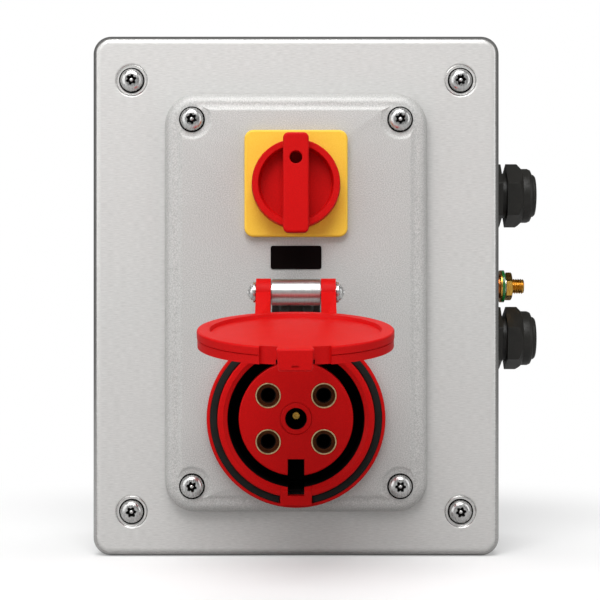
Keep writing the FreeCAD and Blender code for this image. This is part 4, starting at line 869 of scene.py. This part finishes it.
@dataclass(frozen=True)
class RaisedPanel:
    """Blasted panel with its soft shoulder, low step and scalloped corners, and its four screws."""

    # How far the step's head and foot lie in and out of the solid's upright step
    slope_mm: tuple[float, float] = (2.3, 0.6)  # How far the step's head leans in and its foot out
    screw_mm: tuple[float, float] = (16.75, 16.0)  # The corner screws' distance from the rim along X and Z
    scallop_mm: float = 10.5  # Radius of the solid's scallops round those screws
    inset_mm: float = 8.7  # The straight runs' distance from the rim in the solid
    ledge_mm: float = 130.5
    face_mm: float = 132.0

    @staticmethod
    def rims(place: Vector) -> list[float]:
        """Give the nearer side rim's X and the nearer end rim's Z."""
        return [ends[2 * place[axis] > ends[0] + ends[1]]
                for axis in (0, 2) for ends in [[corner[axis] for corner in box_of("socket_plate")]]]

    def from_screw(self, place: Vector) -> Vector:
        """Give a point's place from its corner's screw, in mm, counted away from the rims."""
        inward = [abs(place[axis] - rim) / MM for axis, rim in zip((0, 2), self.rims(place))]
        return Vector(inward) - Vector(self.screw_mm)

    def on_step(self, corner: Corner) -> bool:
        """Tell whether a corner lies on the step's head or foot, which all do on the scallops' circles."""
        on_circle = abs(self.from_screw(corner.co).length - self.scallop_mm) < 0.05
        return on_circle and -corner.co.y > (self.ledge_mm - 0.1) * MM

    def shifted(self, corner: Vector, shift_mm: float) -> Vector:
        """Give a step corner's place once the step's outline lies further in.

        Args:
            corner: the corner, which lies on the circle round its screw.
            shift_mm: how far in the outline moves.

        Returns:
            The place on the wider circle, or where that circle meets the moved straight run.
        """
        radius, old = self.scallop_mm + shift_mm, self.from_screw(corner)
        spot = old.normalized() * radius
        for one, other in ((0, 1), (1, 0)):
            run = self.inset_mm + shift_mm - self.screw_mm[one]
            if spot[one] < run or old[one] < self.inset_mm + 0.05 - self.screw_mm[one]:
                spot[one], spot[other] = run, math.sqrt(radius ** 2 - run ** 2)
        place = corner.copy()
        for axis, rim, centre, part in zip((0, 2), self.rims(corner), self.screw_mm, spot):
            place[axis] = rim - math.copysign((centre + part) * MM, rim)
        return place

    def lean(self, made: Form) -> None:
        """Lean the upright step to a slope, with a row of corners halfway so that it shades softly."""
        upright = [face for face in made.faces
                   if abs(face.normal.y) < 0.1 and all(map(self.on_step, face.verts))]
        corners = dict.fromkeys(corner for face in upright for corner in face.verts)
        for corner in corners:
            head = -corner.co.y > (self.face_mm - 0.1) * MM
            corner.co = self.shifted(corner.co, self.slope_mm[0] if head else -self.slope_mm[1])
        bmesh.ops.remove_doubles(made, verts=list(corners), dist=0.01 * MM)
        corners = dict.fromkeys(corner for corner in corners if corner.is_valid)
        walls = [face for face in made.faces
                 if abs(face.normal.y) < 0.9 and all(corner in corners for corner in face.verts)]
        half = Vector((0.0, -(self.ledge_mm + self.face_mm) / 2 * MM, 0.0))
        edges = dict.fromkeys(edge for face in walls for edge in face.edges)
        bmesh.ops.bisect_plane(made, geom=[*walls, *edges, *corners], plane_co=half, plane_no=(0.0, 1.0, 0.0))
        for level in (self.ledge_mm, self.face_mm):
            self.fill(made, level)
        bmesh.ops.recalc_face_normals(made, faces=made.faces)

    @staticmethod
    def fill(made: Form, level: float) -> None:
        """Fill one level afresh between its outlines.

        Args:
            made: the form.
            level: the level's depth in mm.
        """
        flat = [face for face in made.faces
                if all(abs(corner.co.y / MM + level) < 0.02 for corner in face.verts)]
        inside = set(flat)
        rim = [edge for edge in made.edges if len({face in inside for face in edge.link_faces}) > 1]
        bmesh.ops.delete(made, geom=flat, context="FACES")
        bmesh.ops.triangle_fill(made, edges=rim, use_beauty=True, use_dissolve=False, normal=(0.0, -1.0, 0.0))

    def build(self, shop: Workshop) -> None:
        """Dress the panel and its fixings."""
        shop.rounded("socket_plate", Surface.BLASTED, 0.0, shaped=self.lean)
        ButtonScrew(below=20.0).four(shop, "plate_screws", 8)
        shop.paint(Surface.ZINC, "plate_spacers", "plate_nuts")
        shop.paint(Surface.RUBBER, "plate_gasket")


@dataclass(frozen=True)
class Isolator:
    """Rotary switch: yellow face plate, red knob with its bar, and the block behind the panel."""

    edge_mm: float = 0.35

    def build(self, shop: Workshop) -> None:
        """Dress the switch."""
        shop.rounded("switch_faceplate", Surface.YELLOW, self.edge_mm)
        shop.rounded("switch_handle", Surface.RED, self.edge_mm)
        shop.paint(Surface.BLACK, "switch_body")
        shop.paint(Surface.ZINC, "switch_screws", "switch_shaft")


@dataclass(frozen=True)
class LabelPlate:
    """Bare label below the switch."""

    edge_mm: float = 0.2

    def build(self, shop: Workshop) -> None:
        """Dress the label."""
        shop.rounded("label_plate", Surface.LABEL, self.edge_mm)


@dataclass(frozen=True)
class PowerSocket:
    """Collar, cup, insert, contacts and seal of the five-pole socket."""

    edge_mm: float = 0.3  # Round on the moulded edges
    rim: float = 7.6  # Outer radius of a contact sleeve
    rim_wall: float = 0.72  # The wall of its tinned rim
    rim_deep: float = 0.8
    throat: float = 4.7  # Radius of the sleeve's seat
    bore: float = 4.1  # Radius of the bore that takes the plug's pin
    sink: float = 5.0  # How deep the seat lies below the insert's face
    bore_deep: float = 34.0  # How deep the bore goes
    barrel: float = 6.4  # Radius of the sleeve's rear part
    stand: float = 0.275  # How far the rim stands out of the insert
    liner: float = 0.06  # Wall of the skins of painted shade inside the sleeve
    axis_z: float = -74.0  # Height of the socket's axis
    # Half the keyway's width, and how far below the axis it starts and the insert ends
    key: tuple[float, float, float] = (4.95, 24.4, 34.5)
    seal_wide: float = 4.5  # Width of the lid seal
    seal_gap: float = 9.7  # Half the gap in it
    seal_round: float = 0.9  # Round of its edges
    recess: tuple[float, float] = (6.5, 9.8)  # Radii of the pilot's recess and of its lining tube

    def build(self, shop: Workshop) -> None:
        """Dress the socket."""
        for node in ("socket_housing", "key_boss", "contact_insert", "pilot_liner"):
            shop.rounded(node, Surface.RED, self.edge_mm)
        # The cup, the keyway's channel and the contacts' base are near-black as painted shade for the deep gap
        # round the insert.
        for node in ("socket_cup", "key_channel", "contact_base"):
            shop.paint(Surface.SHADE, node)
        shop.rounded("pilot_pin", Surface.BRASS, 0.15)
        shop.paint(Surface.BLACK, "socket_ring_nut")
        shop.paint(Surface.RUBBER, "flange_gasket")
        self.seal(shop)
        self.linings(shop)
        self.contacts(shop)

    def linings(self, shop: Workshop) -> None:
        """Line the keyway's walls and the pilot's recess with painted shade in black."""
        half, top, foot = self.key

        def in_keyway(face: Face) -> bool:
            """Tell whether a face of the insert is a wall of the keyway."""
            return all(abs(corner.co.x) / MM < half + 0.05
                       and top - 0.05 < self.axis_z - corner.co.z / MM < foot + 0.1 for corner in face.verts)

        def within(face: Face, radius: float) -> bool:
            """Tell whether a face lies within a radius of the socket's axis."""
            return all(math.hypot(corner.co.x / MM, corner.co.z / MM - self.axis_z) < radius
                       for corner in face.verts)

        shop.lined("keyway_painted_shade", "contact_insert", Surface.SHADE, in_keyway)
        shop.lined("pilot_recess_painted_shade", "pilot_liner", Surface.SHADE,
                   lambda face: within(face, self.recess[0] + 0.05))
        shop.lined("pilot_floor_painted_shade", "contact_insert", Surface.SHADE,
                   lambda face: within(face, self.recess[1]) and face.normal.y < -0.9)

    def seal(self, shop: Workshop) -> None:
        """Lay the soft lid seal in its groove, open where the key boss stands."""
        low, high = box_of("socket_seal")
        outer, width = (high[0] - low[0]) / 2, self.seal_wide * MM
        half_gap = math.asin(self.seal_gap * MM / (outer - width))
        centre = Vector(((low[0] + high[0]) / 2, (low[1] + high[1]) / 2, high[2] - outer))
        shop.grow("socket_seal_shown", shop.recipes.bead, bpy.data.meshes.new("none"), Surface.RUBBER,
                  "socket_seal", Radius=outer - width / 2, Start=-math.pi / 2 + half_gap,
                  Sweep=math.tau - 2 * half_gap, Width=width, Height=high[1] - low[1],
                  Round=self.seal_round * MM, Centre=centre)

    def contacts(self, shop: Workshop) -> None:
        """Set four sleeves in the insert, each with a throat darkened brown by painted shade and a bore in
        painted shade.
        """
        low, high = box_of("contact_sleeves")
        back = -(high[1] - low[1]) / MM + self.stand
        rim, stand, sink, deep, skin = self.rim, self.stand, self.sink, self.bore_deep, self.liner
        barrel, throat_r, bore_r = self.barrel, self.throat, self.bore
        inner, foot = rim - self.rim_wall, stand - self.rim_deep
        tin = [
            (inner, foot), (rim, foot), (rim, stand - 0.2),
            (rim - 0.2, stand), (inner + 0.2, stand), (inner, stand - 0.2),
        ]
        sleeve = [
            (0.0, back), (barrel - 1.1, back), (barrel - 1.1, back + 12),
            (barrel, back + 12), (barrel, -2 * sink), (rim, -2 * sink),
            (rim, foot), (inner, foot), (inner, -sink), (throat_r, -sink),
            (bore_r, -sink - 0.6), (bore_r, -deep), (0.0, -deep),
        ]
        throat = [
            (inner, foot), (inner, -sink), (throat_r, -sink),
            (throat_r, -sink + 0.5), (throat_r + 0.35, -sink + 0.5),
            (throat_r + 0.5, -sink + skin), (inner - skin - 0.3, -sink + skin),
            (inner - skin, -sink + 0.3), (inner - skin, foot),
        ]
        bore = [
            (throat_r, -sink + skin), (bore_r, -sink - 0.6),
            (bore_r, -deep), (0.0, -deep), (0.0, -deep + skin),
            (bore_r - skin, -deep + skin), (bore_r - skin, -sink - 0.6),
            (throat_r - skin, -sink + skin),
        ]
        shop.four("contact_sleeves", rim, stand, (
            ("contact_sleeves_shown", sleeve, Surface.BRASS, False),
            ("contact_rims", tin, Surface.TINNED, True),
            ("contact_throats_painted_shade", throat, Surface.BROWNED, True),
            ("contact_bores_painted_shade", bore, Surface.SHADE, True)), 48)


@dataclass(frozen=True)
class Hinge:
    """Bracket, whose black also paints the shade under the knuckle, with the drawn knuckle, the pin and its
    two caps.
    """

    cap: float = 6.2  # Radius of a cap's washer
    washer: float = 1.6  # Its thickness
    dome: float = 5.3  # Radius of the cap's dome
    high: float = 3.2
    nipple: float = 1.9  # Radius of the small crown on the dome
    hole: float = 4.02  # Radius of a cap's hole for the pin
    hole_deep: float = 1.62  # How far that hole goes on past the washer
    shank: float = 2.0  # Radius of a rivet's shank
    brim: float = 1.6  # Height of a rivet's rear head, and of its front head
    rivet: float = 3.6  # Radius of a rivet head

    def build(self, shop: Workshop) -> None:
        """Dress the hinge."""
        # The bracket's black is partly painted shade: it stands for the dark gap under the knuckle.
        shop.rounded("hinge_bracket", Surface.BLACK, 0.3)
        shop.rounded("hinge_knuckle", Surface.DRAWN, 0.3)
        shop.paint(Surface.POLISHED, "hinge_pin")
        self.caps(shop)
        self.rivets(shop)

    def caps(self, shop: Workshop) -> None:
        """Press a domed cap with a turned washer on each end of the pin."""
        low, high = box_of("hinge_caps")
        centre = (low + high) / 2
        seat = (high[0] - low[0]) / 2 / MM - self.washer - self.high
        wall, brow = seat + self.washer, self.dome - 0.5
        rings = [
            (self.hole, seat), (self.cap - 0.25, seat), (self.cap, seat + 0.25),
            (self.cap, wall - 0.3), (self.cap - 0.3, wall),
            (self.dome, wall), (brow, wall + 0.25),
            (brow - 0.1, wall + 0.9), (brow - 0.6, wall + 1.7),
            (brow - 1.5, wall + 2.3), (self.nipple + 0.15, wall + 2.55),
            (self.nipple, wall + 2.7), (self.nipple - 0.25, wall + self.high),
            (0.0, wall + self.high), (0.0, wall + self.hole_deep),
            (self.hole, wall + self.hole_deep),
        ]
        one = turned("hinge_cap_one", rings, SIDEWARD, 64, True)
        shop.grow("hinge_caps_shown", shop.recipes.row, one, Surface.POLISHED, "hinge_caps", Count=2,
                  First=centre, Step=Vector((0.0, 0.0, 0.0)), Turn=Vector((0.0, 0.0, math.pi)))

    def rivets(self, shop: Workshop) -> None:
        """Set two domed rivets through the bracket and the panel."""
        low, high = box_of("hinge_rivets")
        back = -(high[1] - low[1]) / MM
        rings = [
            (0.0, back), (self.rivet, back), (self.rivet, back + self.brim),
            (self.shank, back + self.brim), (self.shank, -self.brim), (self.rivet, -self.brim),
            (self.rivet - 0.2, -1.0), (self.rivet - 0.9, -0.4), (self.rivet - 2.0, -0.08), (0.0, 0.0),
        ]
        width = (high[0] - low[0]) - 2 * self.rivet * MM
        first = Vector((low[0] + self.rivet * MM, low[1], (low[2] + high[2]) / 2))
        shop.grow("hinge_rivets_shown", shop.recipes.row, turned("hinge_rivet_one", rings, OUTWARD, 40),
                  Surface.BLACK, "hinge_rivets", Count=2, First=first, Step=Vector((width, 0.0, 0.0)),
                  Turn=Vector((0.0, 0.0, 0.0)))


@dataclass(frozen=True)
class Lid:
    """Red lid with its two lugs, dished top, parting line and lifting tab."""

    edge_mm: float = 0.45  # Round on the moulded edges
    lean_deg: float = 9.5  # How far the open lid falls short of level
    reach: float = 76.0  # From the hinge to the lid's centre in mm
    radius: float = 54.0
    parting: float = -12.35  # Height of the parting line over the hinge, along the lid's axis, in mm
    groove: tuple[float, float] = (0.3, 0.55)  # Half the line's width and its depth in mm

    def score(self, made: Form) -> None:
        """Score the parting line round the lid's side."""
        joints = frame["record"]["behaviour"]["joints"]
        hinge = Vector(next(joint["pos_m"] for joint in joints if joint["name"] == "lid_hinge"))
        lean = Matrix.Rotation(math.radians(self.lean_deg), 3, "X")
        up = lean @ Vector((0.0, 0.0, 1.0))
        axis = hinge + lean @ Vector((0.0, -self.reach * MM, 0.0))

        def out(place: Vector) -> Vector:
            """Give the vector to a point from the lid's axis, square to it."""
            arm = place - axis
            return arm - up * arm.dot(up)

        def on_side(corner: Corner) -> bool:
            """Tell whether a corner lies on the lid's round side."""
            return self.radius - 1.0 < out(corner.co).length / MM < self.radius + 0.2

        for lift in (-self.groove[0], self.groove[0]):
            faces = [face for face in made.faces if all(on_side(corner) for corner in face.verts)]
            edges = dict.fromkeys(edge for face in faces for edge in face.edges)
            corners = dict.fromkeys(corner for face in faces for corner in face.verts)
            bmesh.ops.bisect_plane(made, geom=[*faces, *edges, *corners],
                                   plane_co=hinge + up * (self.parting + lift) * MM, plane_no=up)
        for corner in made.verts:
            off = (corner.co - hinge).dot(up) / MM - self.parting
            if on_side(corner) and abs(off) < self.groove[0] / 2:
                corner.co -= out(corner.co).normalized() * self.groove[1] * MM

    def build(self, shop: Workshop) -> None:
        """Dress the lid."""
        shop.rounded("socket_lid", Surface.RED, self.edge_mm, shaped=self.score)


@dataclass(frozen=True)
class Gland:
    """One cable gland on the right side: hexagon body, domed cap and rubber insert."""

    prefix: str  # The start of its solids' names
    edge_mm: float = 0.5  # Round on the moulded edges

    def build(self, shop: Workshop) -> None:
        """Dress the gland."""
        for part in ("body", "cap"):
            shop.rounded(f"{self.prefix}_gland_{part}", Surface.BLACK, self.edge_mm)
        shop.rounded(f"{self.prefix}_gland_seal", Surface.RUBBER, 0.4)
        shop.rounded(f"{self.prefix}_gland_washer", Surface.RUBBER, 0.3)
        shop.paint(Surface.BLACK, f"{self.prefix}_gland_locknut")


@dataclass(frozen=True)
class EarthStud:
    """Brass earth stud with its spacer, washers and nuts."""

    pitch: float = 1.5
    ridge: float = 0.85

    def build(self, shop: Workshop) -> None:
        """Dress the stud and what sits on it."""
        low, high = box_of("earth_stud")
        shop.grow("earth_stud_shown", shop.recipes.thread, bpy.data.meshes.new("none"), Surface.BRASS,
                  "earth_stud", Radius=(high[2] - low[2]) / 2, Ridge=self.ridge * MM, Pitch=self.pitch * MM,
                  Length=high[0] - low[0], Centre=(low + high) / 2)
        for node, surface, edge_mm in (
                ("earth_spacer", Surface.BRONZE, 0.2), ("earth_brass_washer", Surface.BRASS, 0.15),
                ("earth_green_washer", Surface.GREEN, 0.3), ("earth_spring_washer", Surface.POLISHED, 0.15),
                ("earth_nut", Surface.BRASS, 0.3)):
            shop.rounded(node, surface, edge_mm)
        shop.paint(Surface.BRASS, "earth_inner_nut")


def main() -> None:
    """Build the studio and dress every piece in order."""
    logging.basicConfig(level=logging.INFO, format="%(message)s")
    bpy.context.scene.view_settings.view_transform = "Standard"
    Studio().build()
    shop = Workshop()
    for part in (Enclosure(), RaisedPanel(), Isolator(), LabelPlate(), PowerSocket(), Hinge(), Lid(),
                 Gland("upper"), Gland("lower"), EarthStud()):
        part.build(shop)


if __name__ == "__main__":
    main()
